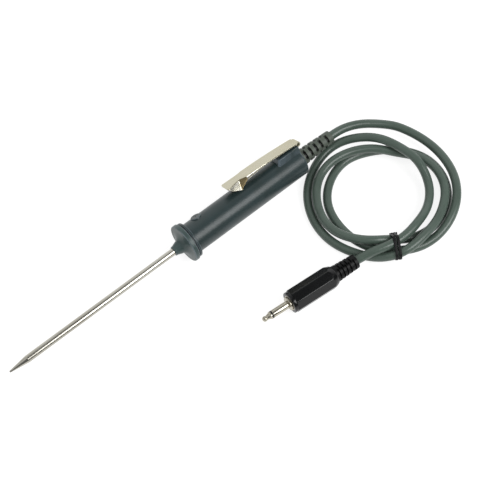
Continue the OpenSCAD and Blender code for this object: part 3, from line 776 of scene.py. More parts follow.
# ---------------------------------------------------------------- view and light
@dataclass(frozen=True)
class Studio:
    """Camera, lamp, room and table."""

    elevation: float = 63.0  # camera's height over the table, in degrees
    azimuth: float = -40.1  # camera's turn, in degrees
    distance: float = 600.0  # its distance from the target
    target: Triple = (26.8, -17.1, 0.0)  # the point that it looks at
    lens: float = 98.64  # its focal length
    sensor: float = 36.0  # width of its sensor
    sight: Pair = (10.0, 10000.0)  # shortest and longest distance at which it sees
    key_turn: float = 41.0  # turn of the main lamp from straight up towards the camera's side, in degrees
    key_side: float = 0.33  # how far it stands towards +X, as a share of its distance
    key_strength: float = 4.9  # its power, in watts
    key_size: Pair = (470.0, 540.0)  # its width and height
    key_distance: float = 900.0  # its distance
    backdrop: float = 1.0  # strength of the light from the pale backdrop behind the object
    screen: float = 0.6  # strength of the light from the pale screen on the needle's side
    screen_way: Triple = (-1.0, 0.0, 0.0)  # direction of the screen
    panel: float = 0.8  # strength of a small pale panel overhead, beyond the needle
    panel_way: Triple = (-0.3, 0.3, 0.906)  # direction of the panel
    overhead: float = 0.12  # strength of the light from overhead and from the camera's side
    # Cosines of the angles from the middle of the backdrop and the screen at which their light starts
    # and is full.
    wide: Pair = (0.1, 0.85)
    narrow: Pair = (0.86, 0.95)  # the same for the panel
    table_reach: float = 3000.0  # half the table's width
    table_gap: float = 0.05  # how far the table lies below the object
    table_dull: float = 0.7  # the table's grey as the light meets it
    table_shaded: float = 0.35  # its grey under the glow that the camera and reflections see
    table_glow: float = 0.84  # strength of that glow

    def stand(self, item: Piece, away: Vector, distance: float) -> None:
        """Stands a camera or a lamp off the target and makes it face there.

        Args:
            item: The camera or lamp.
            away: Direction from the target to it.
            distance: Its distance from the target.
        """
        item.location = (Vector(self.target) + distance * away) * MM
        item.rotation_euler = away.to_track_quat("Z", "Y").to_euler()

    def camera(self) -> None:
        """Makes the camera, which looks at the target from the azimuth and elevation."""
        turn = math.radians(self.azimuth)
        rise = math.radians(self.elevation)
        level = math.cos(rise)
        data = bpy.data.cameras.new("camera")
        data.lens = self.lens
        data.sensor_width = self.sensor
        data.clip_start, data.clip_end = (distance * MM for distance in self.sight)
        camera = new_object("camera", data)
        away = Vector((math.sin(turn) * level, -math.cos(turn) * level, math.sin(rise)))
        self.stand(camera, away, self.distance)
        bpy.context.scene.camera = camera

    def lamp(self) -> None:
        """Makes the soft main lamp, which faces the target from the camera's side."""
        turn = math.radians(self.key_turn)
        data = bpy.data.lights.new("key", "AREA")
        data.shape = "RECTANGLE"
        data.size, data.size_y = (side * MM for side in self.key_size)
        data.energy = self.key_strength
        away = Vector((self.key_side, -math.sin(turn), math.cos(turn))).normalized()
        self.stand(new_object("key", data), away, self.key_distance)

    def room(self) -> None:
        """Makes a dim room with a bright backdrop, a screen and a panel, all white to the camera.

        The strength in a direction is the greatest that a zone gives there, and each turns from
        the overhead strength to its own over its limits of the cosine to its middle.
        """
        paint = Paint(bpy.data.worlds.new("room"))
        bpy.context.scene.world = paint.owner
        direction = paint.node("ShaderNodeTexCoord", output="Generated")
        strength = paint.node("ShaderNodeLightPath", output="Is Camera Ray")
        turn = math.radians(self.azimuth)
        zones = (
            ((-math.sin(turn), math.cos(turn), 0.0), self.wide, self.backdrop),
            (self.screen_way, self.wide, self.screen),
            (self.panel_way, self.narrow, self.panel),
        )
        for way, limits, brightness in zones:
            sockets = {0: direction, 1: way}
            cosine = paint.node("ShaderNodeVectorMath", {"operation": "DOT_PRODUCT"}, sockets, "Value")
            light = paint.band(cosine, limits, (self.overhead, brightness))
            strength = strength.maths("MAXIMUM", light, strength)
        paint.fill(paint.tree.nodes["Background"], {"Color": grey(1.0), "Strength": strength})

    def table(self) -> None:
        """Makes the white table: dull to the light, and bright to the camera and to reflections."""
        reach = self.table_reach * MM
        height = -self.table_gap * MM
        mesh = bpy.data.meshes.new("table")
        corners = [(x * reach, y * reach, height) for x, y in ((-1, -1), (1, -1), (1, 1), (-1, 1))]
        mesh.from_pydata(corners, [], [(0, 1, 2, 3)])
        paint = Paint(bpy.data.materials.new("table"))
        paint.tree.nodes.remove(paint.tree.nodes["Principled BSDF"])
        camera, glossy, transmission = (
            paint.node("ShaderNodeLightPath", output=f"Is {kind} Ray")
            for kind in ("Camera", "Glossy", "Transmission")
        )
        dull, shaded = (
            paint.node("ShaderNodeBsdfDiffuse", {}, {"Color": grey(level)})
            for level in (self.table_dull, self.table_shaded)
        )
        glow = paint.node("ShaderNodeEmission", {}, {"Color": grey(1.0), "Strength": self.table_glow})
        bright = paint.node("ShaderNodeAddShader", {}, {0: shaded, 1: glow})
        seen = (camera + glossy + transmission).held()
        surface = paint.node("ShaderNodeMixShader", {}, {0: seen, 1: dull, 2: bright})
        paint.fill(paint.tree.nodes["Material Output"], {"Surface": surface})
        mesh.materials.append(paint.owner)
        table = new_object("table", mesh)

    def build(self) -> None:
        """Makes the lamp, the room and the table."""
        bpy.context.scene.view_settings.view_transform = "Standard"
        self.lamp()
        self.room()
        self.table()


# ---------------------------------------------------------------- needle and nose
@dataclass
class Needle:
    """The steel needle: a conical point on a thin tube that is narrower inside the handle."""

    tip_x: float = low("needle_point", X)  # place of the point's blunt end
    shaft_x: float = low("needle_tube", X)  # place where the tube starts
    nose_x: float = low("nose_cap", X)  # place of the nose's front
    end_x: float = high("needle_tube", X)  # place of the tube's rear end
    diameter: float = 3.3  # outer diameter
    held_d: float = 2.8  # outer diameter inside the handle
    blunt_d: float = 0.8  # diameter of the blunt end
    blunt_round: float = 0.25  # rounding of the blunt end
    wall: float = 0.25  # wall of the tube
    root_l: float = 3.0  # length of the point's root in the tube
    pocket_d: float = 2.0  # diameter of the sensor's pocket in the root
    pocket_l: float = 5.0  # depth of the pocket
    edge: float = 0.1  # rounding of the edges
    fit: float = 0.05  # clearance between the pieces

    def build(self, shop: Workshop) -> None:
        """Makes the point and the tube.

        Args:
            shop: Where they are painted.
        """
        r = self.diameter / 2
        bore = r - self.wall
        held = self.held_d / 2
        held_bore = held - self.wall
        shoulder = self.nose_x - self.fit
        inner = shoulder - self.wall
        shaft = revolve("needle_shaft", PROBE, [
            (self.shaft_x, bore, 0), (self.shaft_x, r, 0), (shoulder, r, self.edge), (shoulder, held, 0),
            (self.end_x, held, self.edge), (self.end_x, held_bore, 0), (inner, held_bore, 0),
            (inner, bore, 0),
        ])
        root = bore - self.fit
        root_x = self.shaft_x + self.root_l
        pocket = self.pocket_d / 2
        pocket_x = root_x - self.pocket_l
        point = revolve("needle_cone", PROBE, [
            (self.tip_x, 0, 0), (self.tip_x, self.blunt_d / 2, self.blunt_round), (self.shaft_x, r, 0),
            (self.shaft_x, root, 0), (root_x, root, self.edge), (root_x, pocket, 0),
            (pocket_x, pocket, 0), (pocket_x, 0, 0),
        ])
        shop.fix(shaft, "needle_steel", "needle_tube")
        shop.fix(point, "needle_steel", "needle_point")


@dataclass
class Nose:
    """The nose: a short neck, a trumpet flare and the front disc of the finger flange."""

    front_x: float = low("nose_cap", X)  # place of its tip
    lip_d: float = 4.3  # diameter of the tip
    lip_l: float = 0.9  # length over which the tip widens
    neck_d: float = 6.0  # diameter of the neck where the flare starts
    neck_l: float = 2.9  # length of the neck
    flare_l: float = 2.6  # length of the flare
    flange_d: float = high("nose_cap", Z)  # diameter of the disc
    disc_t: float = 2.2  # thickness of the disc
    disc_edge: float = 1.0  # width of the disc's front face outside the flare
    disc_round: float = 0.6  # rounding of the disc's edges
    groove_w: float = 0.5  # width of the groove behind the disc
    groove_depth: float = 0.8  # depth of the groove
    spigot_d: float = 10.9  # diameter of the spigot in the barrel
    spigot_l: float = 8.0  # length of the spigot
    ferrule_d: float = 6.5  # diameter of the seat for the needle's ferrule
    ferrule_in: float = 2.0  # distance of the seat's bottom behind the disc
    bore_d: float = 2.9  # diameter of the hole for the needle

    def build(self, shop: Workshop) -> None:
        """Makes the nose, whose flare is a quarter of an ellipse: (l sin a, R - (R - r) cos a).

        Args:
            shop: Where it is painted.
        """
        r = self.flange_d / 2
        flare_r = r - self.disc_edge
        lip = self.lip_d / 2
        bore = self.bore_d / 2
        deep = r - self.groove_depth
        spigot = self.spigot_d / 2
        ferrule = self.ferrule_d / 2
        neck_x = self.front_x + self.neck_l
        disc_x = neck_x + self.flare_l
        groove_x = disc_x + self.disc_t
        seat_x = groove_x + self.groove_w
        end_x = seat_x + self.spigot_l
        ferrule_x = groove_x + self.ferrule_in
        lip_x = self.front_x + self.lip_l
        outline = rounded(np.vstack([
            [(self.front_x, bore, 0), (self.front_x, lip, 0.2), (lip_x, lip + 0.1, 0.4)],
            arc((neck_x, flare_r), (self.flare_l, self.neck_d / 2 - flare_r), 90, 0, 12),
            [
                (disc_x, r, self.disc_round), (groove_x, r, self.disc_round), (groove_x, deep, 0.05),
                (seat_x, deep, 0.05), (seat_x, spigot, 0), (end_x, spigot, 0.5), (end_x, ferrule, 0),
                (ferrule_x, ferrule, 0), (ferrule_x, bore, 0),
            ],
        ]))
        # painted shade: the groove behind the disc and the faces beyond it are marked -1, to be painted
        # dark
        in_groove = (outline[:, 0] > groove_x + 0.01) & (outline[:, 1] < r - 0.3)
        relief = np.where(in_groove, -1.0, outline[:, 2])[:, None]
        grid = turned(PROBE, outline[:, 0], outline[:, 1], WIDE_ROUND)
        nose = Skin().add(grid, ring_rows=True, relief=relief).build("nose")
        shop.fix(nose, "nose_plastic", "nose_cap")


# ---------------------------------------------------------------- handle
@dataclass
class Handle:
    """The barrel with its rear rim of the finger flange, the round pad and the clip's boss."""

    front_x: float = low("barrel", X)  # place of its front
    rear_x: float = high("barrel", X)  # place of its rear
    diameter: float = 14.0  # outer diameter
    wall: float = 1.5  # wall of the barrel
    rear_wall: float = 2.0  # thickness of its rear wall
    hole_d: float = 6.5  # diameter of the boot's hole
    rim_d: float = 17.0  # diameter of the rear rim
    rim_t: float = 1.2  # thickness of the rim
    rim_round: float = 0.35  # rounding of the rim
    rear_round: float = 0.9  # rounding of the rear edge
    pad_d: float = 5.2  # diameter of the round pad
    pad_h: float = 0.3  # its height
    pad_root: float = 1.2  # how far it goes into the barrel
    pad_x: float = 14.5  # place of its middle
    pad_turn: float = 43.0  # its turn from straight up, in degrees
    # Outer radius, inner radius and depth of the ring in its top; radii as shares of its own.
    ring: Triple = (0.62, 0.58, 0.04)
    # Top radius, bottom radius and depth of the pit in its middle, the same way.
    pit: Triple = (0.16, 0.1, 0.2)
    boss_l: float = 12.8  # length of the boss
    boss_w: float = 8.2  # width of the boss
    boss_slope: float = 1.6  # how far its front leans back from its foot to its top
    boss_foot_r: float = 5.2  # distance of its foot from the barrel's axis
    boss_r: float = 8.8  # distance of its top from the barrel's axis
    boss_edge: float = 0.2  # rounding of its top edge
    boss_cut: float = 0.8  # size of the cut corners at its front
    slot_l: float = 8.15  # length of the clip's slot
    slot_w: float = 4.7  # width of the slot
    slot_t: float = 0.7  # height of the slot
    slot_r: float = 7.55  # distance of its middle from the barrel's axis

    def barrel(self) -> Piece:
        """Turns the barrel's outline, with the rim at its front.

        Returns:
            The barrel.
        """
        r = self.diameter / 2
        bore = r - self.wall
        rim = self.rim_d / 2
        hole = self.hole_d / 2
        rim_x = self.front_x + self.rim_t
        wall_x = self.rear_x - self.rear_wall
        return revolve("barrel_shell", PROBE, [
            (self.front_x, bore, 0), (self.front_x, rim, self.rim_round), (rim_x, rim, self.rim_round),
            (rim_x, r, self.rim_round), (self.rear_x, r, self.rear_round), (self.rear_x, hole, 0.1),
            (wall_x, hole, 0), (wall_x, bore, 0),
        ], WIDE_ROUND)

    def pad(self) -> Piece:
        """Turns the round pad, which has a faint ring and a small pit in its top.

        A point of its outline at the radius r is r cos a along and r sin a aside of its line.

        Returns:
            The pad.
        """
        upright = Axes((self.pad_x, *PROBE.origin[Y:]), (-self.pad_turn, 0.0, 0.0))
        r = self.pad_d / 2
        foot = self.diameter / 2 - self.pad_root
        top = self.diameter / 2 + self.pad_h
        ring_out, ring_in, ring_depth = self.ring
        pit_top, pit_bottom, pit_depth = self.pit
        outline = rounded([
            (foot, 0, 0), (foot, r, 0), (top, r - 0.15, 0.3), (top, ring_out * r, 0.1),
            (top - ring_depth, ring_in * r, 0.1), (top - ring_depth, pit_top * r, 0.05),
            (top - pit_depth, pit_bottom * r, 0), (top - pit_depth, 0, 0),
        ])
        angle = full_turn(48)
        radius = outline[:, 1:2]
        grid = upright.place(radius * np.cos(angle), radius * np.sin(angle), outline[:, :1])
        return Skin().add(grid, ring_rows=True, relief=outline[:, 2:]).build("handle_pad")

    def cutter(self) -> Piece:
        """Makes the box that cuts the clip's slot, through the boss's rear face.

        Returns:
            The box.
        """
        start = self.rear_x - self.slot_l
        end = self.rear_x + 1.0
        corners = np.array([(-1, -1), (-1, 1), (1, 1), (1, -1)]) / 2
        along = np.array([start, start, end, end])[:, None]
        rows = CLIP.place(along, corners[:, 0] * self.slot_w, self.slot_r + corners[:, 1] * self.slot_t)
        rows[[0, -1]] = rows[[0, -1]].mean(axis=1, keepdims=True)
        return Skin().add(rows).build("slot_cutter")

    def boss(self) -> Piece:
        """Lofts the boss up from the barrel and cuts the clip's slot in it.

        Each level is the boss's plan, drawn in towards its middle by d = e(1 - cos a) at the
        height e sin a above its last straight level, which rounds its top edge. A point at the
        distance u from the rear face is moved back by slope * height * u / length.

        Returns:
            The boss.
        """
        half = self.boss_w / 2
        front = self.rear_x - self.boss_l
        cut = self.boss_cut
        edge = self.boss_edge
        plan = rounded([
            (front, cut - half, 0.15), (front + cut, -half, 0.15), (self.rear_x, -half, 0.3),
            (self.rear_x, half, 0.3), (front + cut, half, 0.15), (front, half - cut, 0.15),
        ])[:, :2]
        middle = np.array([(front + self.rear_x) / 2, 0.0])
        angle = np.radians(np.linspace(0.0, 90.0, 6))
        inset = np.r_[half, 0.0, edge * (1.0 - np.cos(angle)), half]
        foot_r = self.boss_foot_r
        level = np.r_[foot_r, foot_r, self.boss_r - edge * (1.0 - np.sin(angle)), self.boss_r]
        # the side faces get 0.5, painted light; the rounded top edge rises to 1, wear with painted
        # highlight; the top's middle gets -0.5, painted shade that the handle's finish does not paint
        wear_and_light = np.r_[0.5, 0.5, 0.5 + 0.5 * np.sin(2.0 * angle), -0.5][:, None]
        # the cut front corners get 1, a painted highlight
        near = cut + 0.05
        on_cut = (np.abs(plan[:, 1]) > half - near) & (plan[:, 0] < front + near)
        wear_and_light = np.where(on_cut & (level[:, None] < self.boss_r), 1.0, wear_and_light)
        scale = 1.0 - inset[:, None, None] / np.array([self.boss_l / 2, half])
        scale[[0, -1]] = 0.0
        points = middle + (plan[None] - middle) * scale
        lean = self.boss_slope * (level - foot_r) / (self.boss_r - foot_r)
        points[..., 0] += lean[:, None] * (self.rear_x - points[..., 0]) / self.boss_l
        grid = CLIP.place(points[..., 0], points[..., 1], level[:, None])
        boss = Skin().add(grid, relief=wear_and_light).build("clip_boss")
        cutter = self.cutter()
        slot = boss.modifiers.new("slot", "BOOLEAN")
        slot.object = cutter
        slot.operation = "DIFFERENCE"
        slot.solver = "EXACT"
        bake(boss)
        bpy.data.objects.remove(cutter)
        return boss

    def build(self, shop: Workshop) -> None:
        """Makes the barrel, the pad and the boss.

        Args:
            shop: Where they are painted.
        """
        for piece in (self.barrel(), self.pad(), self.boss()):
            shop.fix(piece, "handle_plastic", "barrel")


# ---------------------------------------------------------------- pocket clip
@dataclass
class PocketClip:
    """The spring clip: a flat arm with a winged toe, a tight rear bend and a foot in the boss."""

    bend_x: float = high("barrel", X) + 1.2  # place of the bend's middle along the probe
    bend_r: float = 8.5  # its distance from the barrel's axis
    bend: float = 0.95  # middle radius of the bend
    rise: float = 2.5  # rise of the arm towards the toe, in degrees
    bow: float = 0.6  # how far the middle of the arm bows out from the barrel
    length: float = 39.4  # length of the arm
    width: float = 6.0  # width of the arm
    thickness: float = 0.6  # thickness of the strip
    shoulder_l: float = 1.1  # length over which the arm narrows to the bend
    bend_w: float = 4.2  # width of the bend
    foot_w: float = 4.6  # width of the foot
    foot_x: float = 61.8  # place of the foot's front end
    # Where the foot starts and stops widening, past the arm's end.
    foot_widens: Pair = (3.0, 5.0)
    toe_round: float = 0.8  # rounding of the toe's corners
    wing_l: float = 10.4  # length of the wings
    # Shares of that length at a wing's front end, its ridge's top and its rear end.
    wing_at: Triple = (0.03, 0.66, 1.0)
    # How far the four corners of its lower edge stand out beyond the arm's edge.
    wing_out: tuple[float, ...] = (0.05, 0.2, 0.25, 0.0)
    # How far the two ends of its lower edge hang below the arm.
    wing_drop: Pair = (0.4, 1.0)
    # Place of the second corner behind the first, and its distance from the barrel's axis.
    knee: Pair = (1.4, 9.3)
    # Half widths of the flat face at the ridge's top, on the near and the far side.
    ridge_in: Pair = (1.4, 2.7)
    ridge_lean: float = 1.2  # how far the ridge's foot lies in front of its top
    foot_r: float = 7.2  # distance of the ridge's foot from the barrel's axis
    lip_l: float = 1.1  # length of the lips behind the wings, as a share of the wings' length
    lip_depth: Pair = (1.5, 0.5)  # depth of a lip at its front and its rear end
    lip_lean: float = 0.16  # how far it leans out for each unit of depth
    edge: float = 0.1  # width of the bevel on every edge
    # Place before the bend and distance from the barrel's axis of the last still point.
    still: Pair = (0.8, 8.22)
    # The same for the first point that moves with the whole arm.
    free: Pair = (0.89, 9.343)

    def arm_r(self, x: Array) -> Array:
        """Gives the arm's distance from the barrel's axis: a slope plus the bow, 4b t(1 - t).

        Args:
            x: Places along the probe.

        Returns:
            The distances.
        """
        slope = math.radians(self.rise)
        t = (self.bend_x - np.asarray(x, float)) / self.length
        straight = self.bend_r + self.bend / math.cos(slope) + t * self.length * math.tan(slope)
        return straight + self.bow * 4.0 * t * (1.0 - t)

    def wing_x(self) -> Array:
        """Returns the places of the wing's front end, its ridge's top and its rear end."""
        return self.bend_x - self.length + self.wing_l * np.array(self.wing_at)

    def face_half(self, x: Array, side: int) -> Array:
        """Returns half the flat face's width: straight folds lead in to the ridge and out again."""
        edge = self.width / 2
        return np.interp(x, self.wing_x(), (edge, self.ridge_in[side > 0], edge - 0.2))

    def strip(self, skin: Skin) -> None:
        """Adds the strip's middle sheet, from the toe round the bend to the foot.

        Its line is the straight arm, an arc from 90 - rise to -90 degrees and the straight foot,
        and its half width grows over the toe's rounding, is drawn in between the wings and has
        rounded shoulders at the bend.

        Args:
            skin: Where it is added.
        """
        start = math.radians(90.0 - self.rise)
        toe_x = self.bend_x - self.length
        tangent_x = self.bend_x + self.bend * math.cos(start)
        toe = toe_x + self.toe_round * (1.0 - np.cos(np.radians(np.arange(0.0, 90.0, 20.0))))
        straight = np.linspace(toe_x + self.toe_round, tangent_x - self.shoulder_l - 0.1, 60)
        shoulder = tangent_x - self.shoulder_l * np.cos(np.radians(np.linspace(0.0, 88.0, 12)))
        arm_x = np.sort(np.r_[toe, straight, self.wing_x()[1:], shoulder])
        angle = np.linspace(start, -math.pi / 2, 24)
        foot_x = np.linspace(self.bend_x, self.foot_x, 10)[1:]
        foot_r = np.full(len(foot_x), self.bend_r - self.bend)
        x = np.r_[arm_x, self.bend_x + self.bend * np.cos(angle), foot_x]
        r = np.r_[self.arm_r(arm_x), self.bend_r + self.bend * np.sin(angle), foot_r]
        run = run_along(np.stack([x, r], axis=1))
        half = self.width / 2 - self.toe_round * hollow(1.0 - np.clip(run / self.toe_round, 0.0, 1.0))
        narrow = hollow(np.clip(run - self.length + self.shoulder_l, 0.0, 1.0))
        half = half + (self.bend_w / 2 - half) * narrow
        widens = ramp(run, *(self.length + past for past in self.foot_widens))
        half = half + (self.foot_w - self.bend_w) / 2 * widens
        winged = x < self.wing_x()[2]
        near, far = (
            np.where(winged, np.minimum(half, self.face_half(x, side)), half)[:, None] for side in (-1, 1)
        )
        across = np.linspace(-1.0, 1.0, 13)
        aside = np.where(across < 0.0, near, far) * across
        skin.add(CLIP.place(x[:, None], aside, r[:, None]), ring_columns=False)

    def wing(self, skin: Skin, side: int) -> None:
        """Adds one wing: a front leaf and a rear leaf that meet in a ridge and dip to the barrel.

        Each leaf is ruled between its fold line on the arm and its own lower edge:
        u + (l - u) v, where u and l are points of the two lines.

        Args:
            skin: Where it is added.
            side: 1 or -1.
        """
        first_x, ridge_x, end_x = self.wing_x()
        outer = self.width / 2 + np.array(self.wing_out)
        places = [first_x, first_x + self.knee[0], ridge_x - self.ridge_lean, end_x]
        heights = [
            self.arm_r(first_x) - self.wing_drop[0], self.knee[1], self.foot_r,
            self.arm_r(end_x) - self.wing_drop[1],
        ]
        lows = np.stack([places, outer, heights], axis=1)
        t = np.linspace(0.0, 1.0, 13)
        down = np.linspace(0.0, 1.0, 9)[None, :, None]
        # the front leaf is marked 1, painted highlight, and the rear leaf -1, painted shade
        leaves = ((first_x, ridge_x, lows[:3], 1.0), (ridge_x, end_x, lows[2:], -1.0))
        for start, end, corners, shade in leaves:
            x = start + (end - start) * t
            upper = np.stack([x, self.face_half(x, side) - 0.05, self.arm_r(x)], axis=1)
            lower = sample(t, np.linspace(0.0, 1.0, len(corners)), corners)
            sheet = upper[:, None] + (lower - upper)[:, None] * down
            points = CLIP.place(sheet[..., 0], side * sheet[..., 1], sheet[..., 2])
            skin.add(points, ring_columns=False, relief=shade)

    def lip(self, skin: Skin, side: int) -> None:
        """Adds the shallow lip along one edge, which leans out and runs out towards the bend.

        A point at the depth d is d lower than the arm and lean * d further out than its edge.

        Args:
            skin: Where it is added.
            side: 1 or -1.
        """
        steps = 16
        end_x = self.wing_x()[2]
        x = np.linspace(end_x - 0.2, end_x + self.lip_l * self.wing_l, steps)[:, None]
        drop = np.linspace(*self.lip_depth, steps)[:, None] * np.linspace(0.0, 1.0, 4)
        edge = self.width / 2 - self.thickness / 2 + 0.06
        points = CLIP.place(x, side * (edge + self.lip_lean * drop), self.arm_r(x) + 0.22 - drop)
        # the lip is marked 1, painted highlight
        skin.add(points, ring_columns=False, relief=1.0)

    def build(self, shop: Workshop) -> None:
        """Makes the clip, from the toe round the bend to the foot in the boss.

        Args:
            shop: Where it is painted.
        """
        skin = Skin()
        self.strip(skin)
        for side in (-1, 1):
            self.wing(skin, side)
            self.lip(skin, side)
        clip = skin.build("pocket_clip")
        sheet = clip.modifiers.new("sheet", "SOLIDIFY")
        sheet.thickness = self.thickness * MM
        sheet.offset = 0.0
        edges = clip.modifiers.new("edges", "BEVEL")
        edges.width = self.edge * MM
        edges.segments = 2
        edges.limit_method = "ANGLE"
        shop.paint(bake(clip), "clip_nickel", "clip_arm", "clip_foot")
        still, free = (CLIP.place(self.bend_x - back, 0.0, r) * MM for back, r in (self.still, self.free))
        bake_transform(clip)
        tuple(still)
        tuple(free)


# ---------------------------------------------------------------- boot and cable
@dataclass(frozen=True)
class RibbedSleeve:
    """A strain relief: a tapered sleeve with windows cut in it, turn about, on a plain root.

    One row of windows faces a given way and its opposite. Shallower notches, a quarter turn
    from them, lie half way between two windows.
    """

    length: float  # its length
    first_d: float  # diameter at its start
    last_d: float  # diameter at its end
    turn: float  # which way the windows face, in degrees from straight up
    ribs: int = 6  # number of ribs, one more than the windows
    # Place of the first window's middle, in ribs; the last is between the last two.
    first_window: float = 0.775
    window_w: float = 0.95  # width of a window along the sleeve
    window_depth: float = 0.75  # depth of a window
    notch_depth: float = 0.4  # depth of a notch
    span: float = 36.0  # half the angle that a window takes, in degrees
    edge: float = 0.2  # length over which its edge rises
    side_edge: float = 3.0  # half the angle over which its sides rise, in degrees
    crisp: float = 50.0  # edges that turn by more than this many degrees stay crisp

    def cut(self, s: Array, middles: Array, turn: float) -> Array:
        """Gives 1 in a row of windows and 0 beside them.

        Args:
            s: Distances along the sleeve.
            middles: Distances of the windows' middles.
            turn: Which way they face, in degrees.

        Returns:
            The mask, by distance and angle.
        """
        off = np.min(np.abs(s[:, None] - middles), axis=1)
        along = 1.0 - ramp(off, (self.window_w - self.edge) / 2, (self.window_w + self.edge) / 2)
        off = np.degrees(np.arcsin(np.abs(np.sin(full_turn(ROUND) - math.radians(turn)))))
        aside = 1.0 - ramp(off, self.span - self.side_edge, self.span + self.side_edge)
        return along[:, None] * aside

    def surface(self, rows: int) -> tuple[Array, Array, Array]:
        """Works out the sleeve's radius over its length and round it.

        The radius falls evenly from the first to the last, less the depth of the windows and
        the notches. The relief is -1 at the bottom of a window and -0.5 in a notch, where shade is
        painted.

        Args:
            rows: Number of rows along it.

        Returns:
            Distances along, radii and relief.
        """
        s = np.linspace(0.0, self.length, rows)
        pitch = self.length / self.ribs
        middles = (np.arange(self.ribs - 1) + self.first_window) * pitch
        middles[-1] = (self.ribs - 1) * pitch
        windows = self.cut(s, middles, self.turn)
        notches = self.cut(s, (middles[1:] + middles[:-1]) / 2, self.turn + 90.0)
        radius = np.interp(s, (0.0, self.length), (self.first_d / 2, self.last_d / 2))[:, None]
        radius = radius - windows * self.window_depth - notches * self.notch_depth
        return s, radius, -windows - 0.5 * notches

    def build(
        self, name: str, axes: Axes, root: list[Pair], way: int, bore_d: float, rows: int
    ) -> Piece:
        """Makes one closed skin from the root over the ribs to the bore.

        Args:
            name: The piece's name.
            axes: The line that it lies on.
            root: Distance along and radius of the root's corners, up to where the sleeve starts.
            way: 1 or -1: which way along the line the sleeve goes.
            bore_d: Diameter of the hole through it.
            rows: Number of rows along it.

        Returns:
            The new object.
        """
        s, radius, relief = self.surface(rows)
        corners = np.array(root)
        start = corners[-1, 0]
        along = np.r_[corners[:, 0], start + way * s, start + way * self.length]
        wide = np.ones((1, ROUND))
        radii = np.vstack([corners[:, 1:] * wide, radius, bore_d / 2 * wide])
        marks = np.pad(relief, ((len(corners), 1), (0, 0)))
        skin = Skin().add(turned(axes, along, radii), ring_rows=True, relief=marks)
        return skin.build(name, self.crisp)


@dataclass
class Boot:
    """The handle's ribbed boot, with its collar inside the barrel."""

    rear_x: float = high("barrel", X)  # place of the barrel's rear
    end_x: float = high("cable_boot", X)  # place of the boot's end
    rear_wall: float = 2.0  # thickness of the barrel's rear wall
    collar_d: float = 9.0  # diameter of the collar
    collar_t: float = 1.5  # its thickness
    bore_d: float = 4.1  # diameter of the hole for the cable
    neck_d: float = 6.4  # diameter in the barrel's rear wall
    step: float = 0.1  # gap between the rear wall and the ribbed outside
    first_d: float = 7.8  # diameter of the first rib
    last_d: float = 6.0  # diameter of the last rib

    def build(self, shop: Workshop) -> None:
        """Makes the boot, from the collar over the neck to the ribs.

        Args:
            shop: Where it is painted.
        """
        neck, collar = self.neck_d / 2, self.collar_d / 2
        wall_x = self.rear_x - self.rear_wall
        collar_x = wall_x - self.collar_t
        start_x = self.rear_x + self.step
        sleeve = RibbedSleeve(
            self.end_x - start_x, self.first_d, self.last_d, turn=-27.0, window_w=1.15, window_depth=1.0,
            notch_depth=0.8, span=40.0,
        )
        root = [
            (collar_x, self.bore_d / 2), (collar_x, collar), (wall_x, collar), (wall_x, neck),
            (start_x, neck),
        ]
        shop.fix(sleeve.build("boot", PROBE, root, 1, self.bore_d, 260), "boot_rubber", "cable_boot")


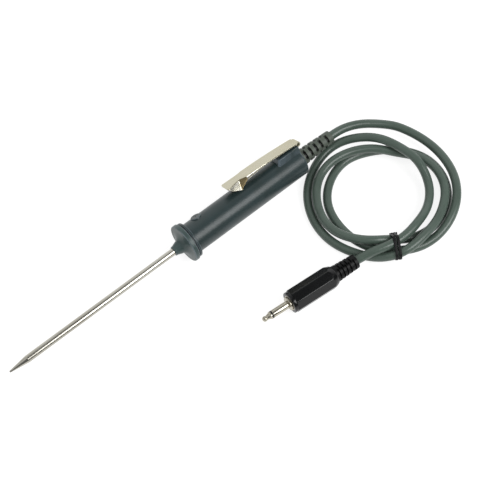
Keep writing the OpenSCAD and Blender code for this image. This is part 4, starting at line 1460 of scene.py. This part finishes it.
@dataclass
class Cable:
    """The free cable: out of the boot, round the tied coil and across to the plug.

    It runs clockwise round the coil's middle. Its reach from the middle is listed every
    30 degrees of turn, and its height where it lies on the table or climbs over other turns.
    """

    diameter: float = 4.0  # outer diameter
    sides: int = 28  # number of points round it
    exit_x: float = high("cable_boot", X)  # where it leaves the boot
    coil_y: float = -35.0  # the coil's middle, beside the boot's end
    first_turn: float = 60.0  # turn where the coil starts, in degrees
    last_turn: float = 1290.0  # turn where it ends
    straight: float = 4.0  # length of the straight stretch at either end of the coil
    tie_turn: float = 210.0  # turn at which the tie holds the runs together
    step: float = 1.6  # distance between two points of the finished line
    spread: float = 3.0  # length over which a bend spreads
    # Distance from the coil's middle, every 30 degrees of turn.
    reach: tuple[float, ...] = (
        35, 34.5, 34, 33.5, 33.5, 32.5, 30.5, 28, 26, 24.5, 24.5, 24,
        24, 23.5, 25.5, 29, 30, 28.5, 25.5, 23.2, 26, 29.5, 29.5, 28.5,
        25, 22.5, 22, 26, 28, 27.5, 28, 31.5, 31, 32.5, 33, 33,
        32.5, 27.5, 22.5, 21.5, 21.5, 21, 22, 26.3,
    )
    # Rows of turn and height of the centre line.
    heights: tuple[Pair, ...] = (
        (0, 9), (20, 9), (80, 6), (127, 6), (188, 2), (204, 2.6), (214, 2.6), (232, 2),
        (548, 2), (592, 6.7), (606, 6.7), (645, 5.4), (680, 5.4), (712, 6.6), (745, 6.6),
        (785, 5.2), (825, 6.5), (885, 6.5), (900, 7.1), (917, 7.1), (958, 2), (1050, 2),
        (1135, 10), (1160, 10), (1205, 5), (1225, 5), (1260, 7.9), (1290, 7.9),
    )
    # Points from the boot to the coil.
    lead: tuple[Triple, ...] = (
        (92.4, 0.0, 9.0), (97.0, -0.9, 9.0), (101.6, -2.7, 8.8), (106.0, -5.3, 8.4),
        (110.0, -8.6, 7.9), (113.4, -11.6, 7.4),
    )
    # Points from the coil to the plug.
    tail: tuple[Triple, ...] = ((67.8, -55.9, 7.9), (63.8, -54.4, 7.1), (60.3, -53.3, 6.2))
    mouth: Triple = (56.4, -52.6, PLUG.origin[Z])  # the mouth of the plug's tail

    def reach_at(self, turn: Array) -> Array:
        """Gives the reach at a turn, on a smooth curve through the reaches set every 30 degrees.

        Past the last turn the curve goes on turned half a turn about its end.

        Args:
            turn: Turns in degrees.

        Returns:
            The reaches.
        """
        fine = curve_through(np.array(self.reach)[:, None], 30)[:, 0]
        degrees = np.arange(len(fine))
        past = np.maximum(turn - self.last_turn, 0.0)
        at = np.interp(np.minimum(turn, self.last_turn), degrees, fine)
        back = np.interp(self.last_turn - past, degrees, fine)
        return np.where(past > 0, 2 * fine[int(self.last_turn)] - back, at)

    def height_at(self, turn: Array) -> Array:
        """Gives the height of the centre line: smooth ramps between the listed heights.

        Args:
            turn: Turns in degrees.

        Returns:
            The heights.
        """
        start = np.array(self.heights[:-1])
        stop = np.array(self.heights[1:])
        step = np.clip(np.searchsorted(start[:, 0], turn, side="right") - 1, 0, len(start) - 1)
        first, last = start[step], stop[step]
        return first[:, 1] + (last[:, 1] - first[:, 1]) * ramp(turn, first[:, 0], last[:, 0])

    def coil(self, turn: Array) -> Array:
        """Gives points of the coil: reach(s) at the angle 90 - s round its middle.

        Args:
            turn: Turns s in degrees.

        Returns:
            The points.
        """
        angle = np.radians(90.0 - turn)
        reach = self.reach_at(turn)
        x = self.exit_x + reach * np.cos(angle)
        y = self.coil_y + reach * np.sin(angle)
        return np.stack([x, y, self.height_at(turn)], axis=1)

    def route(self) -> Array:
        """Works out the cable's centre line.

        Returns:
            Points from the boot's end to the mouth of the plug's tail.
        """
        coil = self.coil(np.arange(self.first_turn, self.last_turn + 1, 5.0))
        first, last = coil[1] - coil[0], coil[-1] - coil[-2]
        join = coil[0] - self.straight * first / np.linalg.norm(first)
        leave = coil[-1] + self.straight * last / np.linalg.norm(last)
        lead = np.vstack([(self.exit_x, 0.0, PROBE.origin[Z]), self.lead, join, coil[0]])
        tail = np.vstack([coil[-1], leave, self.tail, self.mouth])
        return self.eased(np.vstack([curve_through(lead, 6)[:-1], coil, curve_through(tail, 6)[1:]]))

    def eased(self, line: Array) -> Array:
        """Takes sudden bends out of a line, as a springy jacket does.

        Points at even steps s are weighted with exp(-(s - s0)^2 / 2 b^2), where b is the bend's
        spread. Beyond its ends the line is turned half a turn about them, so they stay in place.

        Args:
            line: Points along the line.

        Returns:
            Points at even steps along the eased line.
        """
        run = run_along(line)
        even = np.linspace(0.0, run[-1], int(round(run[-1] / self.step)) + 1)
        points = sample(even, run, line)
        reach = int(math.ceil(4.0 * self.spread / self.step))
        weights = np.exp(-0.5 * (np.arange(-reach, reach + 1) * even[1] / self.spread) ** 2)
        weights /= np.sum(weights)
        before = 2.0 * points[0] - points[reach:0:-1]
        after = 2.0 * points[-1] - points[-2 : -reach - 2 : -1]
        longer = np.vstack([before, points, after])
        return np.stack([np.convolve(column, weights, "valid") for column in longer.T], axis=1)

    def build(self) -> tuple[Piece, Array]:
        """Carries a circle along the route.

        A point at angle a is the centre plus r cos a times the side and r sin a times the up
        direction, which are square to the route's own direction.

        Returns:
            The cable and its centre line.
        """
        route = self.route()
        along = np.gradient(route, axis=0)
        along /= np.linalg.norm(along, axis=1)[:, None]
        side = np.cross(along, UP)
        side /= np.linalg.norm(side, axis=1)[:, None]
        up = np.cross(side, along)
        angle = full_turn(self.sides)
        aside = self.diameter / 2 * np.cos(angle)
        above = self.diameter / 2 * np.sin(angle)
        grid = route[:, None] + aside[:, None] * side[:, None] + above[:, None] * up[:, None]
        laid = np.stack(np.broadcast_arrays(run_along(route)[:, None], aside, above), axis=-1)
        start, end = (np.repeat(route[[i], None], self.sides, axis=1) for i in (0, -1))
        grid = np.concatenate([start, grid, end])
        laid = np.concatenate([laid[:1], laid, laid[-1:]])
        return Skin().add(grid, laid=laid).build("cable"), route


@dataclass
class TwistTie:
    """Two turns of wire tie round the cable's runs, and its twisted end."""

    cable: Cable  # the cable that it holds
    route: Array  # the cable's centre line
    width: float = 1.2  # width of a turn
    gap: float = 0.4  # gap between the two turns
    thickness: float = 0.4  # thickness of a turn
    seat: float = 0.12  # gap between it and the cable
    twist_d: float = 1.3  # diameter of the twisted end
    twist_l: float = 3.6  # length of the twisted end
    twist_turn: float = 9.0  # how far it is twisted, in radians
    twist_back: float = 1.0 / 3.0  # share of it that lies behind the tie
    waist: float = 0.28  # share of its radius that is missing between its two lobes

    def __post_init__(self) -> None:
        """Finds the coil's middle, the ways outwards and along the runs, and the runs it holds.

        The runs are rows of distance outwards from the middle and height of the centre line.
        """
        angle = math.radians(90.0 - self.cable.tie_turn)
        self.middle = np.array([self.cable.exit_x, self.cable.coil_y, 0.0])
        self.out = np.array([math.cos(angle), math.sin(angle), 0.0])
        self.along = np.cross(UP, self.out)
        offset = self.route - self.middle
        near = (np.abs(offset @ self.along) < self.width + self.gap) & (offset @ self.out > 0.0)
        self.runs = np.stack([(offset @ self.out)[near], offset[near, Z]], axis=1)

    def place(self, outwards: Array, height: Array, along: Array) -> Array:
        """Turns distances into points of the frame.

        Args:
            outwards: Distances from the coil's middle.
            height: Heights over the table.
            along: Distances along the runs.

        Returns:
            The points.
        """
        level = self.middle + outwards[..., None] * self.out + height[..., None] * UP
        return level + along[..., None] * self.along

    def band(self, skin: Skin, offset: float) -> None:
        """Adds one turn: a small rounded section carried round the runs' outline.

        The outline round circles of radius r about the points c is, for each direction n, the
        point c + r n of the circle that reaches furthest along n.

        Args:
            skin: Where it is added.
            offset: Place of the turn along the runs.
        """
        angle = full_turn(120)
        normal = np.stack([np.cos(angle), np.sin(angle)], axis=1)
        furthest = self.runs[np.argmax(normal @ self.runs.T, axis=1)]
        half = self.width / 2
        inner = self.cable.diameter / 2 + self.seat
        outer = inner + self.thickness
        section = rounded([
            (-half, inner, 0.05), (-half, outer, 0.15), (half, outer, 0.15), (half, inner, 0.05),
        ])
        outline = furthest[None] + section[:, None, 1:2] * normal[None]
        skin.add(self.place(outline[..., 0], outline[..., 1], section[:, :1] + offset), ring_rows=True)

    def twist(self, skin: Skin) -> None:
        """Adds the twisted end: a two-lobed section that turns as it goes.

        Its radius at angle a and distance s is r (1 - w + w |cos(a - k s)|), and it is pointed
        over a short stretch at both ends.

        Args:
            skin: Where it is added.
        """
        pointed, blunt = 0.04, 0.05
        inner = float(np.min(self.runs[:, 0])) - self.cable.diameter / 2
        reach = inner - self.seat - self.thickness - self.twist_d / 4
        s = np.linspace(0.0, 1.0, 60)[:, None]
        angle = full_turn(24)
        taper = np.minimum(1.0, np.minimum(s, 1.0 - s) / pointed + blunt)
        lobes = 1.0 - self.waist + self.waist * np.abs(np.cos(angle - self.twist_turn * s))
        radius = self.twist_d / 2 * lobes * taper
        outwards = reach + radius * np.cos(angle)
        height = self.cable.diameter + radius * np.sin(angle)
        skin.add(self.place(outwards, height, (s - self.twist_back) * self.twist_l))

    def build(self) -> Piece:
        """Makes the tie.

        Returns:
            The tie.
        """
        skin = Skin()
        for side in (-1, 1):
            self.band(skin, side * (self.width + self.gap) / 2)
        self.twist(skin)
        return skin.build("tie")


# ---------------------------------------------------------------- plug
@dataclass
class JackPlug:
    """The two-pole jack plug with its eight-sided hood and ribbed tail.

    Distances along it are counted from the hood's front face towards the pin's tip.
    """

    pin_d: float = 3.5  # diameter of the pin
    pin_l: float = 14.0  # length of the pin
    tip_l: float = 4.3  # length of the contact tip
    land_l: float = 0.5  # length of the tip's land
    ball_in: float = 0.5  # how much smaller than the pin's radius the ball's is
    waist_in: float = 0.75  # the same for the waist before the ball
    ring_l: float = 0.7  # length of the insulator ring
    root_d: float = 3.0  # diameter of the pin inside its collar
    root_l: float = 0.35  # length of the root beyond the collar
    collar_d: float = 6.4  # diameter of the collar
    collar_t: float = 0.8  # thickness of the collar
    hood_d: float = 10.8  # diameter of the hood across its corners
    hood_l: float = 23.5  # length of the hood
    hood_bore_d: float = 7.2  # diameter of its bore
    hood_turn: float = 9.0  # turn of the hood's lowest corner, in degrees
    ring_front: float = 1.6  # length of the round ring at its front
    bevel: float = 2.0  # length of its rear bevel
    bevel_slope: float = 0.38  # rise of the bevel for each unit of length
    rear_r: float = 4.25  # radius where the bevel starts
    rear_hole_r: float = 2.7  # radius of the hole in the rear wall
    rear_wall: float = 3.0  # thickness of the hood's rear wall
    tail_l: float = 11.5  # length of the tail
    tail_d: float = 7.6  # diameter of the tail's first rib
    tail_end_d: float = 6.5  # diameter of the tail's last rib
    tail_bore_d: float = 4.1  # diameter of the hole for the cable
    tail_root_r: float = 2.65  # radius of the tail in the hood's rear wall
    flange_r: float = 3.1  # radius of the tail's flange inside the hood
    flange_t: float = 1.5  # thickness of the flange
    body_l: float = 8.0  # length of the threaded body in the hood
    thread_l: float = 3.5  # length of its thread
    body_in: float = 1.2  # how much smaller than the thread's radius the rest of the body's is
    body_bore_r: float = 1.15  # radius of the bore through body and pin
    tube_r: float = 1.1  # radius of the insulator in that bore
    rod_d: float = 1.3  # diameter of the tip's rod
    rod_past: float = 2.0  # how far the rod stands out of the body
    fit: float = 0.05  # clearance between two pieces

    def hood(self) -> Piece:
        """Makes the hood: eight flats with softened corners between two round ends.

        The radius at angle a is flat / (sum of max(0, cos(a - n))^p)^(1/p) over the flats'
        directions n, which is an octagon with rounded corners. Each row holds it between a
        least and a most, which are the same in the round rows, and the bevel is a cone.

        Returns:
            The hood.
        """
        sides, sharpness, free = 240, 110.0, self.hood_d
        corner_from, corner_over = 1.035, 0.03
        flat = self.hood_d / 2 * math.cos(math.pi / 8)
        normals = math.pi - math.radians(self.hood_turn) + math.pi / 8 + np.arange(8) * math.pi / 4
        toward = np.maximum(np.cos(full_turn(sides)[:, None] - normals), 0.0)
        octagon = flat / np.sum(toward**sharpness, axis=1) ** (1.0 / sharpness)
        end, step = -self.hood_l, -self.ring_front
        wall, hole, bore = end + self.rear_wall, self.rear_hole_r, self.hood_bore_d / 2
        rear, ring = self.rear_r, flat - 0.1
        cone = np.linspace(end + 0.4, end + self.bevel + 1.4, 10)
        rear_rows = [
            (wall, hole), (end, hole), (end, rear - 0.25), (end + 0.08, rear - 0.07),
            (end + 0.25, rear + 0.05),
        ]
        front_rows = [
            (step, ring), (step + 0.12, ring), (-0.35, ring), (-0.1, ring - 0.08), (0.0, ring - 0.3),
            (0.0, bore), (wall, bore),
        ]
        table = np.array([
            *((s, r, r) for s, r in rear_rows),
            *((s, 0.0, rear + (s - end) * self.bevel_slope) for s in cone),
            *((s, 0.0, free) for s in np.linspace(end + self.bevel + 2.0, step - 0.2, 6)),
            (step - 0.06, 0.0, self.hood_d / 2 - 0.08),
            *((s, r, r) for s, r in front_rows),
        ])
        least, most = table[:, 1:2], table[:, 2:3]
        radius = np.clip(octagon[None, :], least, most)
        corner = np.clip((octagon / flat - corner_from) / corner_over, 0.0, 1.0) * (least == 0.0)
        grid = turned(PLUG, table[:, 0], radius, sides)
        return Skin().add(grid, ring_rows=True, relief=corner * (radius > flat)).build("hood", 28.0)

    def tail(self) -> Piece:
        """Makes the ribbed tail with its flange and its root inside the hood.

        Returns:
            The tail.
        """
        wall = self.rear_wall - self.hood_l
        root = [
            (wall + self.flange_t, self.tail_bore_d / 2), (wall + self.flange_t, self.flange_r),
            (wall, self.flange_r), (wall, self.tail_root_r), (-self.hood_l, self.tail_root_r),
        ]
        sleeve = RibbedSleeve(
            self.tail_l, self.tail_d, self.tail_end_d, turn=50.0, window_w=0.7, notch_depth=0.75,
            span=50.0,
        )
        return sleeve.build("tail", PLUG, root, -1, self.tail_bore_d, 190)

    def sleeve(self) -> Piece:
        """Makes the pin's sleeve with its threaded body in the hood.

        Returns:
            The sleeve.
        """
        r = self.pin_d / 2
        bore = self.body_bore_r
        body = self.hood_bore_d / 2 - self.fit
        thin = body - self.body_in
        root_r = self.root_d / 2
        root = self.collar_t + self.root_l
        end = self.pin_l - self.tip_l - self.ring_l - self.fit
        return revolve("pin_sleeve", PLUG, [
            (-self.body_l, bore, 0), (-self.body_l, thin, 0), (-self.thread_l, thin, 0),
            (-self.thread_l, body, 0.1), (0, body, 0.15), (0, root_r, 0), (root, root_r, 0),
            (root, r, 0.1), (end, r, 0.08), (end, bore, 0),
        ])

    def insulator(self) -> Piece:
        """Makes the insulator, a thin tube with a ring between sleeve and tip.

        Returns:
            The insulator.
        """
        r = self.pin_d / 2 - 0.02
        rod = self.rod_d / 2 + self.fit
        start = self.pin_l - self.tip_l - self.ring_l
        end = self.pin_l - self.tip_l - self.fit
        return revolve("pin_insulator", PLUG, [
            (-self.body_l, rod, 0), (-self.body_l, self.tube_r, 0), (start, self.tube_r, 0),
            (start, r, 0.05), (end, r, 0.05), (end, rod, 0),
        ])

    def tip(self) -> Piece:
        """Makes the contact tip: a land, a hollow waist and a ball, on a rod.

        Returns:
            The tip.
        """
        r = self.pin_d / 2
        ball = r - self.ball_in
        waist = r - self.waist_in
        rod = self.rod_d / 2
        start = -self.body_l - self.rod_past
        neck = self.pin_l - self.tip_l
        land = neck + self.land_l
        return revolve("pin_tip", PLUG, np.vstack([
            [
                (start, 0, 0), (start, rod, 0), (neck, rod, 0), (neck, r, 0.06), (land, r, 0.15),
                (land + 0.2, ball + 0.2, 0.1), (self.pin_l - 1.7 * ball, waist, 0.6),
            ],
            arc((self.pin_l - ball, 0), (ball, ball), 125, 0, 16),
        ]))

    def collar(self) -> Piece:
        """Makes the thin metal collar at the pin's root.

        Returns:
            The collar.
        """
        sides = 72
        r = self.collar_d / 2
        hole = self.root_d / 2 + self.fit
        front = self.fit + self.collar_t
        return revolve("pin_collar", PLUG, [
            (self.fit, hole, 0), (self.fit, r, 0.12), (front, r, 0.25), (front, hole, 0.05),
        ], sides)

    def build(self, shop: Workshop) -> list[Piece]:
        """Makes the plug.

        Args:
            shop: Where it is painted.

        Returns:
            Its pieces.
        """
        pieces = (
            (self.hood(), "plug_plastic", "plug_hood"),
            (self.tail(), "tail_rubber", "plug_tail"),
            (self.sleeve(), "plug_nickel", "plug_sleeve"),
            (self.collar(), "plug_nickel", "plug_collar"),
            (self.insulator(), "insulator_plastic", "plug_insulator"),
            (self.tip(), "plug_nickel", "plug_tip"),
        )
        return [shop.fix(*piece) for piece in pieces]


def main() -> None:
    """Builds the camera, the cable and its plug, then the probe."""
    logging.basicConfig(level=logging.INFO, format="%(message)s")
    studio = Studio()
    studio.camera()
    shop = Workshop()
    cable = Cable()
    lead, route = cable.build()
    shop.fix(lead, "cable_jacket", "cable_lead", "cable_coil", "cable_tail")
    tie = shop.fix(TwistTie(cable, route).build(), "tie_plastic", "twist_tie")
    plug = JackPlug().build(shop)
    LOG.info("cable: %.1f mm from the boot to the plug", run_along(route)[-1])
    PROBE.origin[Z] * MM
    (route * MM).tolist()
    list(plug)
    for assembly in (Needle(), Nose(), Handle(), PocketClip(), Boot()):
        assembly.build(shop)
    shop.dress_solids()
    studio.build()


if __name__ == "__main__":
    main()
